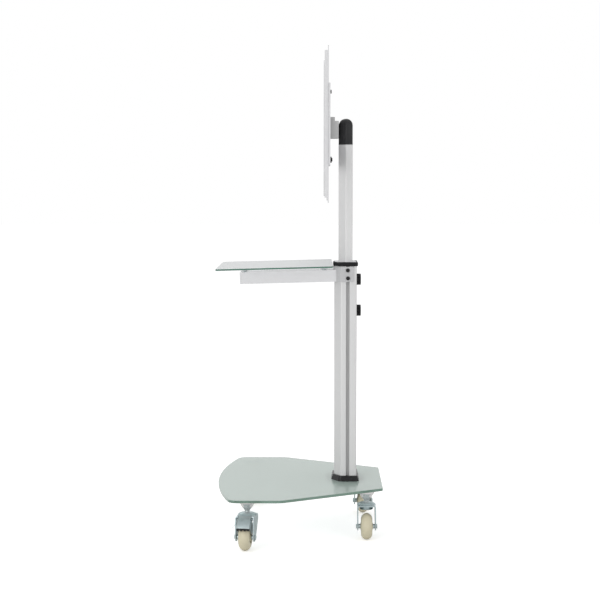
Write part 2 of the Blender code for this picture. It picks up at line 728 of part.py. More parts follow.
def make_knobs():
    """Two fluted knobs whose studs press on the back of the tube."""
    outline = []
    for step in range(KNOB_LOBES * 3):
        turn = 2 * math.pi * step / (KNOB_LOBES * 3)
        radius = KNOB_RADIUS - KNOB_FLUTE * (1 - math.cos(KNOB_LOBES * turn)) / 2
        outline.append((radius * math.cos(turn), radius * math.sin(turn)))
    rings = (
        (grown(outline, -KNOB_EDGE), SEAT), (outline, SEAT + KNOB_EDGE),
        (outline, KNOB_HEIGHT * 0.72), (grown(outline, -KNOB_EDGE), KNOB_HEIGHT * 0.88),
        (grown(outline, -KNOB_FACE_INSET), KNOB_HEIGHT),
    )
    behind = COLUMN_DEPTH / 2
    stud_tip = TUBE_DEPTH / 2 + SEAT - behind
    for index, where in enumerate(("upper", "lower")):
        body = loft(rings)
        body.transform(Matrix.Rotation(math.radians(-90), 4, "X"))
        at = (0.0, COLUMN_Y + behind, UPPER_KNOB_HEIGHT - index * KNOB_SPACING)
        knob = place(f"clamp_knob_{where}", body, "black_plastic", location=at)
        stud = rod(KNOB_STUD_RADIUS, stud_tip, KNOB_HEIGHT / 2, "Y", (0.0, 0.0, 0.0))
        add(knob, stud, f"knob_stud_{where}")


def make_mast():
    """The telescoping tube with its shoe, cap and head bracket."""
    mast = guide("mast_slide", (0.0, COLUMN_Y, 0.0))
    outline = tube_outline()
    hollow = grown(outline, -TUBE_WALL)
    tube_end = CAP_BOTTOM - SEAT
    tube = place("inner_tube", slab([outline, hollow], TUBE_BOTTOM, tube_end), "anodised_aluminium", mast)
    neck = grown(outline, -NECK_INSET)
    neck_hollow = grown(neck, -NECK_WALL)
    add(tube, slab([neck, neck_hollow], tube_end - NECK_GRIP, TUBE_TOP), "tube_neck")
    shoe_top = TUBE_BOTTOM - SEAT
    shoe_outline = grown(column_cavity(), -RUNNING)
    shoe = place("tube_shoe", slab([shoe_outline], shoe_top - SHOE_HEIGHT, shoe_top), "black_plastic", mast)
    plug = slab([grown(hollow, -SEAT)], shoe_top - SHOE_HEIGHT / 2, TUBE_BOTTOM + SHOE_PLUG)
    add(shoe, plug, "shoe_plug")

    rings = [(outline, CAP_BOTTOM)]
    dome = CAP_TOP - CAP_DOME_START
    full_turn = math.radians(CAP_DOME_TURN)
    for share in (0.0, 0.25, 0.48, 0.68, 0.85, 1.0):
        turn = full_turn * share
        shrink_v = math.cos(turn)
        shrink_u = 1 - (1 - shrink_v) * TUBE_DEPTH / TUBE_WIDTH
        ring_outline = [(u * shrink_u, v * shrink_v) for u, v in outline]
        rings.append((ring_outline, CAP_DOME_START + dome * math.sin(turn) / math.sin(full_turn)))
    cap = place("tube_cap", loft(rings), "black_plastic", mast)
    cut(cap, slab([grown(neck, SEAT)], CAP_BOTTOM - 0.01, TUBE_TOP + SEAT), "cap_hollow")
    foot_middle = BRACKET_BOTTOM + (BRACKET_HEIGHT - BRACKET_STEP) / 2 - BRACKET_FOOT_DROP
    window = rectangle(
        BRACKET_FOOT_WIDTH + 2 * CAP_WINDOW_CLEARANCE,
        BRACKET_FOOT_HEIGHT + 2 * CAP_WINDOW_CLEARANCE,
        BRACKET_FOOT_CORNER + CAP_WINDOW_CLEARANCE, (0.0, foot_middle),
    )
    cut(cap, slab([window], -TUBE_DEPTH, -TUBE_DEPTH / 4, "Y"), "cap_window")

    hole = BOLT_RADIUS + HOLE_PLAY
    front = BRACKET_FRONT - COLUMN_Y
    rear = BRACKET_REAR - COLUMN_Y
    middle = (front + rear) / 2
    outside = rectangle(BRACKET_WIDTH, BRACKET_DEPTH, BRACKET_CORNER, (0.0, middle))
    wall = 2 * BRACKET_WALL
    inside = rectangle(BRACKET_WIDTH - wall, BRACKET_DEPTH - wall, 0.0, (0.0, middle))
    top = BRACKET_BOTTOM + BRACKET_HEIGHT
    bracket = place("head_bracket", slab([outside, inside], BRACKET_BOTTOM, top), "grey_paint", mast)
    foot = rectangle(BRACKET_FOOT_WIDTH, BRACKET_FOOT_HEIGHT, BRACKET_FOOT_CORNER, (0.0, foot_middle))
    tube_face = NECK_FRONT - COLUMN_Y
    add(bracket, slab([foot], rear - BRACKET_WALL / 2, tube_face - SEAT, "Y"), "bracket_foot")
    step = rectangle(BRACKET_DEPTH, BRACKET_STEP * 2, 0.0, (front + BRACKET_STEP_LENGTH + BRACKET_DEPTH / 2, top))
    cut(bracket, slab([step], -BRACKET_WIDTH, BRACKET_WIDTH, "X"), "bracket_step")
    for index, side in enumerate((-1, 1)):
        height = foot_middle + side * HEAD_BOLT_SPACING / 2
        at = (0.0, 0.0, height)
        cut(bracket, rod(hole, rear - 2 * BRACKET_WALL, tube_face + 0.005, "Y", at), f"bracket_bolt_hole_{index}")
        cut(tube, rod(hole, tube_face - 0.005, tube_face + 2 * NECK_WALL, "Y", at), f"tube_bolt_hole_{index}")
        head = rear - BRACKET_WALL - SEAT
        nut = tube_face + NECK_WALL + SEAT
        profile = (
            (0.0, nut + NUT_HEIGHT), (BOLT_HEAD_RADIUS, nut + NUT_HEIGHT), (BOLT_HEAD_RADIUS, nut),
            (BOLT_RADIUS, nut), (BOLT_RADIUS, head), (BOLT_HEAD_RADIUS, head),
            (BOLT_HEAD_RADIUS, head - BOLT_HEAD_HEIGHT), (0.0, head - BOLT_HEAD_HEIGHT),
        )
        where = "lower" if side < 0 else "upper"
        place(f"head_bolt_{where}", turned(profile, BOLT_FACETS, "Y", at), "black_steel", mast)

    make_wall_plate(mast, bracket)


def make_wall_plate(mast, bracket):
    """The pan that the head bracket carries, slotted for the upright arms."""
    centre = PLATE_BOTTOM + PLATE_HEIGHT / 2
    front = PLATE_FRONT - COLUMN_Y
    outline = rectangle(PLATE_WIDTH, PLATE_HEIGHT, PLATE_CORNER, (0.0, centre))
    openings = []
    for side in (-1, 1):
        spot = (side * PLATE_WINDOW_OFFSET, centre)
        openings.append(rectangle(PLATE_WINDOW_WIDTH, PLATE_WINDOW_HEIGHT, PLATE_WINDOW_CORNER, spot))
        slot_height = 2 * (ARM_BOLT_RADIUS + HOLE_PLAY)
        outer_end = ARM_SPACING / 2 + slot_height
        inner_end = ARM_SPACING / 2 - ARM_TRAVEL - slot_height
        for height in (ARM_UPPER_BOLT, ARM_LOWER_BOLT):
            spot = (side * (outer_end + inner_end) / 2, height)
            openings.append(rectangle(outer_end - inner_end, slot_height, slot_height * SLOT_END, spot))
    hole = BOLT_RADIUS + HOLE_PLAY
    for side in (-1, 1):
        openings.append(circle(hole, (side * PLATE_BOLT_SPACING / 2, BRACKET_MIDDLE)))
    plate = place(
        "wall_plate", slab([outline] + openings, front, front + PLATE_SHEET, "Y"), "painted_steel", mast,
    )
    rim = [outline, grown(outline, -PLATE_SHEET)]
    add(plate, slab(rim, front + PLATE_SHEET / 2, front + PLATE_RIM, "Y"), "plate_rim")
    wall = BRACKET_FRONT - COLUMN_Y
    for side, where in ((-1, "left"), (1, "right")):
        at = (side * PLATE_BOLT_SPACING / 2, 0.0, BRACKET_MIDDLE)
        bore = rod(hole, wall - BRACKET_WALL, wall + 1.5 * BRACKET_WALL, "Y", at)
        cut(bracket, bore, f"bracket_plate_hole_{where}")
        head = front - SEAT
        nut = wall + BRACKET_WALL + SEAT
        profile = (
            (0.0, nut + NUT_HEIGHT), (BOLT_HEAD_RADIUS, nut + NUT_HEIGHT), (BOLT_HEAD_RADIUS, nut),
            (BOLT_RADIUS, nut), (BOLT_RADIUS, head), (BOLT_HEAD_RADIUS, head),
            (BOLT_HEAD_RADIUS, head - BOLT_HEAD_HEIGHT), (0.0, head - BOLT_HEAD_HEIGHT),
        )
        place(f"plate_bolt_{where}", turned(profile, BOLT_FACETS, "Y", at), "black_steel", mast)


def make_screen_arms():
    """Two upright channels, bolted through the plate's slots, that take the screen."""
    for side, where in ((-1, "left"), (1, "right")):
        arm_guide = guide(f"screen_arm_{where}_slide", (side * ARM_SPACING / 2, ARM_REAR, 0.0))
        web = rectangle(ARM_WIDTH, ARM_LENGTH, ARM_CORNER, (0.0, ARM_MIDDLE))
        openings = []
        slots = (
            (ARM_TOP - ARM_SLOT_INSET, ARM_SLOT_LENGTH), (ARM_FOOT + ARM_SLOT_LOW_INSET, ARM_SLOT_LENGTH),
            (ARM_UPPER_BOLT - ARM_SHORT_SLOT_DROP, ARM_SHORT_SLOT_LENGTH),
            (ARM_LOWER_BOLT + ARM_SHORT_SLOT_RISE, ARM_SHORT_SLOT_LENGTH),
        )
        for height, length in slots:
            openings.append(rectangle(ARM_SLOT_WIDTH, length, ARM_SLOT_WIDTH * SLOT_END, (0.0, height)))
        for height in (ARM_UPPER_BOLT, ARM_LOWER_BOLT):
            openings.append(circle(ARM_BOLT_RADIUS + HOLE_PLAY, (0.0, height)))
        arm = place(
            f"screen_arm_{where}", slab([web] + openings, -ARM_SHEET, 0.0, "Y"), "painted_steel", arm_guide,
        )
        for edge in (-1, 1):
            inner = edge * (ARM_WIDTH / 2 - ARM_SHEET)
            outer = edge * ARM_WIDTH / 2
            flange = rectangle(ARM_DEPTH, ARM_FLANGE_LENGTH, 0.0, (-ARM_DEPTH / 2, ARM_MIDDLE))
            name = f"arm_flange_{where}_{edge}"
            add(arm, slab([flange], min(inner, outer), max(inner, outer), "X"), name)
        head = -ARM_SHEET - SEAT
        nut = ARM_REAR_TO_NUT
        bolts = (
            ("upper", ARM_UPPER_BOLT, ARM_NUT_RADIUS, ARM_NUT_HEIGHT),
            ("lower", ARM_LOWER_BOLT, ARM_THUMB_NUT_RADIUS, ARM_THUMB_NUT_HEIGHT),
        )
        for level, height, nut_radius, nut_height in bolts:
            profile = (
                (0.0, nut + nut_height), (nut_radius * 0.8, nut + nut_height),
                (nut_radius, nut + nut_height * 0.8), (nut_radius, nut),
                (ARM_BOLT_RADIUS, nut), (ARM_BOLT_RADIUS, head), (BOLT_HEAD_RADIUS, head),
                (BOLT_HEAD_RADIUS, head - BOLT_HEAD_HEIGHT), (0.0, head - BOLT_HEAD_HEIGHT),
            )
            bolt = turned(profile, BOLT_FACETS, "Y", (0.0, 0.0, height))
            place(f"arm_bolt_{where}_{level}", bolt, "black_steel", arm_guide)


def make_shelf():
    """The clamped saddle with its arm, four pads and the glass, drooping a little."""
    pivot = guide("shelf_slide", (0.0, SLOT_Y, SADDLE_MIDDLE), (SHELF_DROOP, 0.0, 0.0))
    to_column = -SLOT_OFFSET
    half = SADDLE_HEIGHT / 2
    clear_outline = moved(grown(column_outline(), SADDLE_PLAY), 0.0, to_column)
    outside = grown(column_outline(), SADDLE_PLAY + SADDLE_SHEET)
    block = moved(outside, 0.0, to_column)
    saddle = place("shelf_bracket", slab([block], -half, half), "painted_steel", pivot)
    column_front = -COLUMN_DEPTH / 2 + to_column
    arm_front = column_front - SHELF_ARM_REACH
    arm_top = -half + SHELF_ARM_HEIGHT
    length = -arm_front
    arm_outline = rectangle(SHELF_ARM_WIDTH, length, 0.0, (0.0, arm_front + length / 2))
    add(saddle, slab([arm_outline], -half, arm_top), "shelf_arm")
    inner_width = SHELF_ARM_WIDTH - 2 * SHELF_ARM_SHEET
    inner_rear = column_front - SADDLE_PLAY - SADDLE_SHEET
    inner_front = arm_front + SHELF_ARM_SHEET
    inner_length = inner_rear - inner_front
    hollow = rectangle(inner_width, inner_length, 0.0, (0.0, inner_front + inner_length / 2))
    cut(saddle, slab([hollow], -2 * half, arm_top - SHELF_ARM_SHEET), "shelf_arm_hollow")
    cut(saddle, slab([clear_outline], -2 * half, 2 * half), "saddle_hollow")
    behind = rectangle(2 * COLUMN_WIDTH, COLUMN_DEPTH, 0.0, (0.0, SADDLE_CHEEK_REACH + COLUMN_DEPTH / 2))
    cut(saddle, slab([behind], -2 * half, 2 * half), "saddle_rear")
    hole = CLAMP_SCREW_RADIUS + HOLE_PLAY
    cheek_out = COLUMN_SIDE + SADDLE_PLAY + SADDLE_SHEET
    nut_out = COLUMN_SIDE - SLOT_LIP - SEAT
    nut_in = nut_out - CLAMP_NUT_THICKNESS
    for side, where in ((-1, "left"), (1, "right")):
        ends = sorted((side * nut_in, side * nut_out))
        plate = rectangle(CLAMP_NUT_WIDTH, CLAMP_NUT_LENGTH, CLAMP_NUT_CORNER)
        holes = [circle(hole, (0.0, level * CLAMP_SCREW_SPACING / 2)) for level in (-1, 1)]
        place(f"clamp_nut_{where}", slab([plate] + holes, *ends, "X"), "zinc_plate", pivot)
        for level, row in ((-1, "lower"), (1, "upper")):
            at = (0.0, 0.0, level * CLAMP_SCREW_SPACING / 2)
            ends = sorted((side * COLUMN_SIDE, side * (cheek_out + 0.01)))
            cut(saddle, rod(hole, *ends, "X", at), f"saddle_hole_{where}_{row}")
            head = cheek_out + SEAT
            tip = nut_in - SEAT
            profile = [
                (0.0, head + CLAMP_SCREW_HEAD_HEIGHT),
                (CLAMP_SCREW_HEAD_RADIUS * 0.85, head + CLAMP_SCREW_HEAD_HEIGHT),
                (CLAMP_SCREW_HEAD_RADIUS, head + CLAMP_SCREW_HEAD_HEIGHT * 0.8),
                (CLAMP_SCREW_HEAD_RADIUS, head), (CLAMP_SCREW_RADIUS, head),
                (CLAMP_SCREW_RADIUS, tip), (0.0, tip),
            ]
            screw = turned(profile, BOLT_FACETS, "X", at)
            if side < 0:
                screw.transform(Matrix.Scale(-1, 4, (1, 0, 0)))
                screw = merged(screw)
            place(f"clamp_screw_{where}_{row}", screw, "black_steel", pivot)

    pad_low = arm_top + SEAT
    pad_high = pad_low + PAD_HEIGHT
    pads = (
        ("front", arm_front + FRONT_PAD_INSET),
        ("rear", column_front - REAR_PAD_INSET),
    )
    for row, y in pads:
        for side, where in ((-1, "left"), (1, "right")):
            profile = (
                (0.0, pad_high), (PAD_RADIUS * 0.94, pad_high), (PAD_RADIUS, pad_high - PAD_HEIGHT * 0.15),
                (PAD_RADIUS * 0.8, pad_low + PAD_HEIGHT * 0.5), (PAD_RADIUS, pad_low + PAD_HEIGHT * 0.15),
                (PAD_RADIUS * 0.94, pad_low), (0.0, pad_low),
            )
            pad = turned(profile, PAD_FACETS, "Z", (side * PAD_SPREAD, y, 0.0))
            place(f"shelf_pad_{row}_{where}", pad, "clear_plastic", pivot)
    rear = column_front - TOP_COLLAR_PROUD - SHELF_REAR_GAP
    outline = rectangle(SHELF_WIDTH, SHELF_DEPTH, SHELF_CORNER, (0.0, rear - SHELF_DEPTH / 2), steps=3)
    glass_low = pad_high + SEAT
    glass = place("shelf_glass", slab([outline], glass_low, glass_low + SHELF_THICKNESS), "clear_glass", pivot)
    soften(glass, GLASS_ARRIS)


def caster_frames():
    """Each caster's swivel axis and the way it trails, outward, with the front pair turned."""
    front_x = BASE_HALF_WIDTH - FRONT_CASTER_INSET
    front_y = BASE_FRONT + FRONT_CASTER_SETBACK
    rear_y = BASE_REAR - REAR_CASTER_SETBACK
    rear_x = base_half_width(rear_y) - REAR_CASTER_INSET
    half_turn = math.radians(180)
    return {
        "front_right": (front_x, front_y, -FRONT_CASTER_TURN),
        "front_left": (-front_x, front_y, half_turn + FRONT_CASTER_TURN),
        "rear_right": (rear_x, rear_y, 0.0),
        "rear_left": (-rear_x, rear_y, half_turn),
    }


def mount_mesh():
    """The cone that is bonded under the glass, with the kingpin riveted below the fork."""
    head_top = RACE_BOTTOM - SEAT
    profile = (
        (0.0, MOUNT_TOP), (MOUNT_RADIUS, MOUNT_TOP), (MOUNT_RADIUS, MOUNT_TOP - MOUNT_FLANGE),
        (MOUNT_RADIUS * 0.71, MOUNT_TOP - MOUNT_SHOULDER), (MOUNT_RADIUS * 0.34, MOUNT_TOP - MOUNT_WAIST),
        (KINGPIN_RADIUS, HEAD_TOP + SEAT), (KINGPIN_RADIUS, head_top), (KINGPIN_HEAD_RADIUS, head_top),
        (KINGPIN_HEAD_RADIUS * 0.75, head_top - KINGPIN_HEAD_HEIGHT), (0.0, head_top - KINGPIN_HEAD_HEIGHT),
    )
    return turned(profile, ROUND_FACETS)


def fork_mesh(braked):
    """A bent yoke, cut to its side outline, with the race and the domed head."""
    outer = rounded((
        (FORK_WIDTH / 2, 0.0, 0.0), (FORK_WIDTH / 2, FORK_TOP, FORK_BEND),
        (-FORK_WIDTH / 2, FORK_TOP, FORK_BEND), (-FORK_WIDTH / 2, 0.0, 0.0),
        (-FORK_INSIDE, 0.0, 0.0), (-FORK_INSIDE, FORK_TOP - FORK_SHEET, FORK_BEND - FORK_SHEET),
        (FORK_INSIDE, FORK_TOP - FORK_SHEET, FORK_BEND - FORK_SHEET), (FORK_INSIDE, 0.0, 0.0),
    ), 2)
    eye = FORK_EYE
    above = FORK_TOP + SEAT
    side = rounded((
        (TRAIL - eye * 1.05, WHEEL_RADIUS - eye, eye * 0.9), (TRAIL + eye * 1.05, WHEEL_RADIUS - eye, eye * 0.9),
        (TRAIL + eye * 1.15, WHEEL_RADIUS + eye, eye), (FORK_NOSE, above, eye / 3),
        (-FORK_TAIL, above, eye / 3), (-FORK_TAIL, FORK_TOP - FORK_TAIL_DEPTH, eye * 0.6),
    ), 2)
    yoke = bpy.data.objects.new("fork", slab([outer], -2 * TRAIL, 3 * TRAIL, "X"))
    parts.objects.link(yoke)
    tools = [("INTERSECT", slab([side], -FORK_WIDTH, FORK_WIDTH, "Y"))]
    head = (
        (0.0, HEAD_TOP), (HEAD_RADIUS * 0.45, HEAD_TOP), (HEAD_RADIUS * 0.82, HEAD_TOP - 0.0022),
        (HEAD_RADIUS * 0.985, HEAD_TOP - 0.0062), (HEAD_RADIUS * 0.97, FORK_TOP - FORK_SHEET * 0.4),
        (RACE_RADIUS, FORK_TOP - FORK_SHEET * 0.6), (RACE_RADIUS, RACE_BOTTOM + 0.0015),
        (RACE_RADIUS - 0.0015, RACE_BOTTOM), (0.0, RACE_BOTTOM),
    )
    tools.append(("UNION", turned(head, ROUND_FACETS)))
    bore = KINGPIN_RADIUS + HOLE_PLAY
    tools.append(("DIFFERENCE", rod(bore, RACE_BOTTOM - 0.01, HEAD_TOP + 0.01, "Z", (0.0, 0.0, 0.0))))
    axle = rod(AXLE_RADIUS + HOLE_PLAY, -FORK_WIDTH, FORK_WIDTH, "Y", WHEEL_CENTRE)
    tools.append(("DIFFERENCE", axle))
    if braked:
        reach = FORK_NOSE - FORK_NOTCH_ROOT
        middle = FORK_NOTCH_ROOT + reach
        notch = rectangle(2 * reach, PEDAL_WIDTH + 2 * FORK_NOTCH_PLAY, 0.0, (middle, 0.0))
        tools.append(("DIFFERENCE", slab([notch], FORK_TOP - FORK_BEND, HEAD_TOP)))
        pin = rod(PEDAL_PIN_RADIUS + HOLE_PLAY, -FORK_WIDTH, FORK_WIDTH, "Y", pedal_pin())
        tools.append(("DIFFERENCE", pin))
    for index, (operation, mesh) in enumerate(tools):
        join(yoke, mesh, operation, f"fork_tool_{index}")
    return baked(yoke)


def baked(piece):
    """Apply a piece's modifiers, so that its mesh can be shared, and remove its tools."""
    mesh = mesh_of(piece)
    for tool in list(piece.children):
        bpy.data.objects.remove(tool)
    bpy.data.objects.remove(piece)
    mesh.materials.clear()
    return mesh


def wheel_mesh():
    """A crowned nylon wheel with a hub and a thin web, about its own axle."""
    half = [
        (AXLE_RADIUS + HOLE_PLAY, WHEEL_HALF_HUB), (HUB_RADIUS, WHEEL_HALF_HUB),
        (HUB_RADIUS * 1.15, WHEEL_HALF_WEB), (WHEEL_RADIUS - WHEEL_RIM_DEPTH, WHEEL_HALF_WEB),
        (WHEEL_RADIUS - WHEEL_RIM_DEPTH + WHEEL_RIM_SLOPE, WHEEL_HALF_TREAD),
    ]
    for turn in (20, 42, 62, 83):
        across = WHEEL_HALF_TREAD * math.cos(math.radians(turn))
        half.append((WHEEL_RADIUS - WHEEL_CROWN * (1 - math.sin(math.radians(turn))), across))
    profile = half + [(radius, -height) for radius, height in reversed(half)]
    return turned(profile, WHEEL_FACETS, "Y", closed=True)


def axle_mesh():
    """The bolt through fork and wheel, with its spacers, head and nut."""
    leg_out = FORK_WIDTH / 2 + SEAT
    leg_in = FORK_INSIDE - SEAT
    hub = WHEEL_HALF_HUB + SEAT
    half = [
        (0.0, AXLE_END), (AXLE_HEAD_RADIUS, AXLE_END),
        (AXLE_HEAD_RADIUS, leg_out), (AXLE_RADIUS, leg_out), (AXLE_RADIUS, leg_in),
        (SPACER_RADIUS, leg_in), (SPACER_RADIUS, hub), (AXLE_RADIUS, hub),
    ]
    profile = half + [(radius, -height) for radius, height in reversed(half)]
    return turned(profile, BOLT_FACETS, "Y")


def pedal_pin():
    return Vector((TRAIL + PEDAL_PIN_LEAD, 0.0, PEDAL_PIN_HEIGHT))


def pedal_radius(angle):
    """Outer radius of the pedal about the wheel's axle, closer to the tyre at its tip."""
    share = (PEDAL_START - angle) / (PEDAL_START - PEDAL_END)
    rear = WHEEL_RADIUS + PEDAL_CLEARANCE_REAR
    front = WHEEL_RADIUS + PEDAL_CLEARANCE_FRONT
    return rear + (front - rear) * share


def around_wheel(start, end, inset, steps):
    """Points over the tyre from one angle to another, a distance inside the pedal's skin."""
    points = []
    for step in range(steps + 1):
        angle = start + (end - start) * step / steps
        radius = pedal_radius(angle) - inset
        points.append((TRAIL + radius * math.cos(angle), WHEEL_RADIUS + radius * math.sin(angle)))
    return points


def pedal_mesh():
    """The pressed hood over the tyre, with its side skirts and hinge pin."""
    steps = 8
    skin = around_wheel(PEDAL_START, PEDAL_END, 0.0, steps)
    edge = around_wheel(PEDAL_END, PEDAL_START, PEDAL_SHEET + PEDAL_SKIRT, steps)
    hood = bpy.data.objects.new("pedal", slab([skin + edge], -PEDAL_WIDTH / 2, PEDAL_WIDTH / 2, "Y"))
    parts.objects.link(hood)
    beyond = math.radians(6)
    inside_top = around_wheel(PEDAL_START + beyond, PEDAL_END - beyond, PEDAL_SHEET, steps)
    inside_low = around_wheel(PEDAL_END - beyond, PEDAL_START + beyond, WHEEL_RADIUS * 0.8, steps)
    inner = PEDAL_WIDTH / 2 - PEDAL_SHEET
    join(hood, slab([inside_top + inside_low], -inner, inner, "Y"), "DIFFERENCE", "pedal_hollow")
    reach = FORK_WIDTH / 2
    join(hood, rod(PEDAL_PIN_RADIUS, -reach, reach, "Y", pedal_pin()), "UNION", "pedal_pin")
    mesh = baked(hood)
    mesh.transform(Matrix.Translation(-pedal_pin()))
    return mesh


def pad_bar_mesh():
    """The toothed rubber bar on the pedal's tip."""
    gap = SEAT / (WHEEL_RADIUS + PEDAL_CLEARANCE_FRONT)
    start = PEDAL_END - gap
    end = start - PAD_BAR_ANGLE
    skin = around_wheel(start, end, 0.0, 2)
    edge = around_wheel(end, start, PAD_BAR_DEPTH, 2)
    bar = bpy.data.objects.new("bar", slab([skin + edge], -PEDAL_WIDTH / 2, PEDAL_WIDTH / 2, "Y"))
    parts.objects.link(bar)
    pitch = PEDAL_WIDTH / (2 * PAD_BAR_TEETH - 1)
    notch_start = start - PAD_BAR_ANGLE * PAD_BAR_ROOT
    for index in range(PAD_BAR_TEETH - 1):
        low = -PEDAL_WIDTH / 2 + (2 * index + 1) * pitch
        outline = around_wheel(notch_start, end - PAD_BAR_ANGLE, -PAD_BAR_DEPTH / 2, 1)
        outline += around_wheel(end - PAD_BAR_ANGLE, notch_start, PAD_BAR_DEPTH * 1.5, 1)
        join(bar, slab([outline], low, low + pitch, "Y"), "DIFFERENCE", f"bar_notch_{index}")
    mesh = baked(bar)
    mesh.transform(Matrix.Translation(-pedal_pin()))
    return mesh


def make_casters():
    mount = mount_mesh()
    forks = {True: fork_mesh(True), False: fork_mesh(False)}
    wheel = wheel_mesh()
    axle = axle_mesh()
    pedal = pedal_mesh()
    bar = pad_bar_mesh()
    for where, (x, y, turn) in caster_frames().items():
        braked = where.startswith("front")
        place(f"caster_mount_{where}", mount, "zinc_plate", location=(x, y, 0.0))
        swivel = guide(f"caster_{where}_swivel", (x, y, 0.0), (0.0, 0.0, turn))
        place(f"caster_fork_{where}", forks[braked], "zinc_plate", swivel)
        place(f"caster_axle_{where}", axle, "zinc_plate", swivel, WHEEL_CENTRE)
        place(f"caster_wheel_{where}", wheel, "nylon", swivel, WHEEL_CENTRE)
        if braked:
            place(f"brake_pedal_{where}", pedal, "zinc_plate", swivel, pedal_pin())
            place(f"brake_bar_{where}", bar, "rubber", swivel, pedal_pin())


def main():
    start_clean()
    make_base()
    make_column()
    make_knobs()
    make_mast()
    make_screen_arms()
    make_shelf()
    make_casters()
    bpy.context.view_layer.update()


main()
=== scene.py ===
"""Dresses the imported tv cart: glass, aluminium, powder coat, casters, fasteners and a pale stage.

Metres, +Z up. The screen faces -Y, and the camera stands at the cart's side, on +X.
"""
import json
import math

import bmesh
import bpy
from bpy.props import FloatProperty, FloatVectorProperty, IntProperty, PointerProperty
from bpy.types import Operator, Panel, PropertyGroup
from mathutils import Matrix, Vector


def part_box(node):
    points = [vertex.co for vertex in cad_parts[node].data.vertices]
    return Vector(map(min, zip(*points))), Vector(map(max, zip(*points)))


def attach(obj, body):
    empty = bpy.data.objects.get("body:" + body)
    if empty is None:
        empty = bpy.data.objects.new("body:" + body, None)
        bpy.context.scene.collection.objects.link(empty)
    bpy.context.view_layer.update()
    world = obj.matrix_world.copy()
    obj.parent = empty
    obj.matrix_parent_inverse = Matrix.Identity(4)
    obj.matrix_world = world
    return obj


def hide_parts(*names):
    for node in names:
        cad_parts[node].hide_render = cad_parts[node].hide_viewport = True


bl_info = {
    "name": "TV Cart",
    "version": (1, 0, 0),
    "blender": (4, 5, 0),
    "location": "View3D > Sidebar > TV Cart",
    "description": "Glass, aluminium, casters and fasteners of a tv cart round its packed frame",
    "category": "Object",
}

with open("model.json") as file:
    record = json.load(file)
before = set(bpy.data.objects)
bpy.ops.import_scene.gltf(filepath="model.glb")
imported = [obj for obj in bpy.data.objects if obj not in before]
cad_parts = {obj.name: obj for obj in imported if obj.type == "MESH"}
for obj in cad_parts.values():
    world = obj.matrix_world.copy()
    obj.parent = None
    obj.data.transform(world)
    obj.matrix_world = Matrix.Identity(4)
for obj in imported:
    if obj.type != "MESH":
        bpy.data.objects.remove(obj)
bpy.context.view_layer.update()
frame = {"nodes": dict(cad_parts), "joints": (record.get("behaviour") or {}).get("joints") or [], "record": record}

SIDES = ("left", "right")
CORNERS = ("front_left", "front_right", "rear_left", "rear_right")


def length(name, description, default):
    return FloatProperty(name=name, description=description, default=default, unit="LENGTH")


def swatch(name, description, default):
    return FloatVectorProperty(name=name, description=description, default=default, subtype="COLOR")


class CartSizes(PropertyGroup):
    """Sizes that the frame leaves open."""

    edge_round: length("Edge round", "Bevel on the edges of sheet and castings", 0.0006)
    plate_round: length("Plate round", "Bevel on the edges of the foot plate", 0.0005)
    fork_round: length("Fork round", "Bevel on the edges of the forks", 0.0007)
    fine_round: length("Fine round", "Bevel on the edges of extrusions and small parts", 0.0003)
    mould_round: length("Mould round", "Bevel on the edges of the moulded foot collar", 0.0008)
    glass_arris: length("Glass arris", "Polish on the glass's ground edge", 0.0003)
    floor_size: length("Floor size", "Side of the pale floor", 60.0)
    smooth_angle: FloatProperty(
        name="Smooth angle", description="Faces closer than this are shaded smooth",
        default=math.radians(34), subtype="ANGLE",
    )
    round_steps: IntProperty(
        name="Round steps", description="Facets round a turned piece", default=56, min=12,
    )
    tyre_steps: IntProperty(
        name="Tyre steps", description="Facets round a caster's wheel", default=72, min=24,
    )


class CartColours(PropertyGroup):
    """Colours as they were read from the photograph, in linear light."""

    base_glass: swatch("Base glass", "Glass seen from above", (0.51, 0.62, 0.57))
    # Darker than the glass seen from above: partly a deeper tint, mostly a painted reflection.
    base_glass_grazing: swatch("Base glass, grazing", "Glass seen along its face", (0.375, 0.445, 0.41))
    glass_edge: swatch("Glass edge", "Ground edge of the base glass", (0.13, 0.225, 0.175))
    shelf_glass: swatch("Shelf glass", "Glass of the shelf seen from above", (0.78, 0.80, 0.81))
    # Darker than the glass seen from above: a little deeper tint, mostly a painted reflection.
    shelf_glass_grazing: swatch("Shelf glass, grazing", "Glass seen along its face", (0.41, 0.43, 0.435))
    shelf_edge: swatch("Shelf edge", "Ground edge of the shelf's glass", (0.035, 0.125, 0.085))
    aluminium: swatch("Aluminium", "Clear anodised extrusion", (0.66, 0.66, 0.66))
    powder: swatch("Powder coat", "Pale coat of arms, plate and shelf arm", (0.66, 0.66, 0.67))
    grey_coat: swatch("Grey coat", "Coat of the head bracket", (0.45, 0.45, 0.45))
    black_plastic: swatch("Black plastic", "Collars, cap, knobs and nuts", (0.0065, 0.0065, 0.0070))
    grey_plastic: swatch("Grey plastic", "Guide bush", (0.60, 0.60, 0.63))
    nylon: swatch("Nylon", "Wheels", (0.63, 0.58, 0.42))
    zinc: swatch("Zinc", "Plated caster steel", (0.40, 0.485, 0.50))
    cone_plate: swatch("Mount plating", "Bright plated cones under the glass", (0.76, 0.74, 0.73))
    black_oxide: swatch("Black oxide", "Screws", (0.011, 0.011, 0.012))
    rubber: swatch("Rubber", "Brake bars and gasket", (0.010, 0.010, 0.010))


def sizes():
    return bpy.context.scene.cart_sizes


def colours():
    return bpy.context.scene.cart_colours


# Shader nodes and node groups


def feed(node, inputs):
    """Give each input its value, or a link where it gets another node's output."""
    for title, value in inputs.items():
        socket = node.inputs[title]
        if isinstance(value, bpy.types.NodeSocket):
            node.id_data.links.new(value, socket)
        else:
            socket.default_value = value


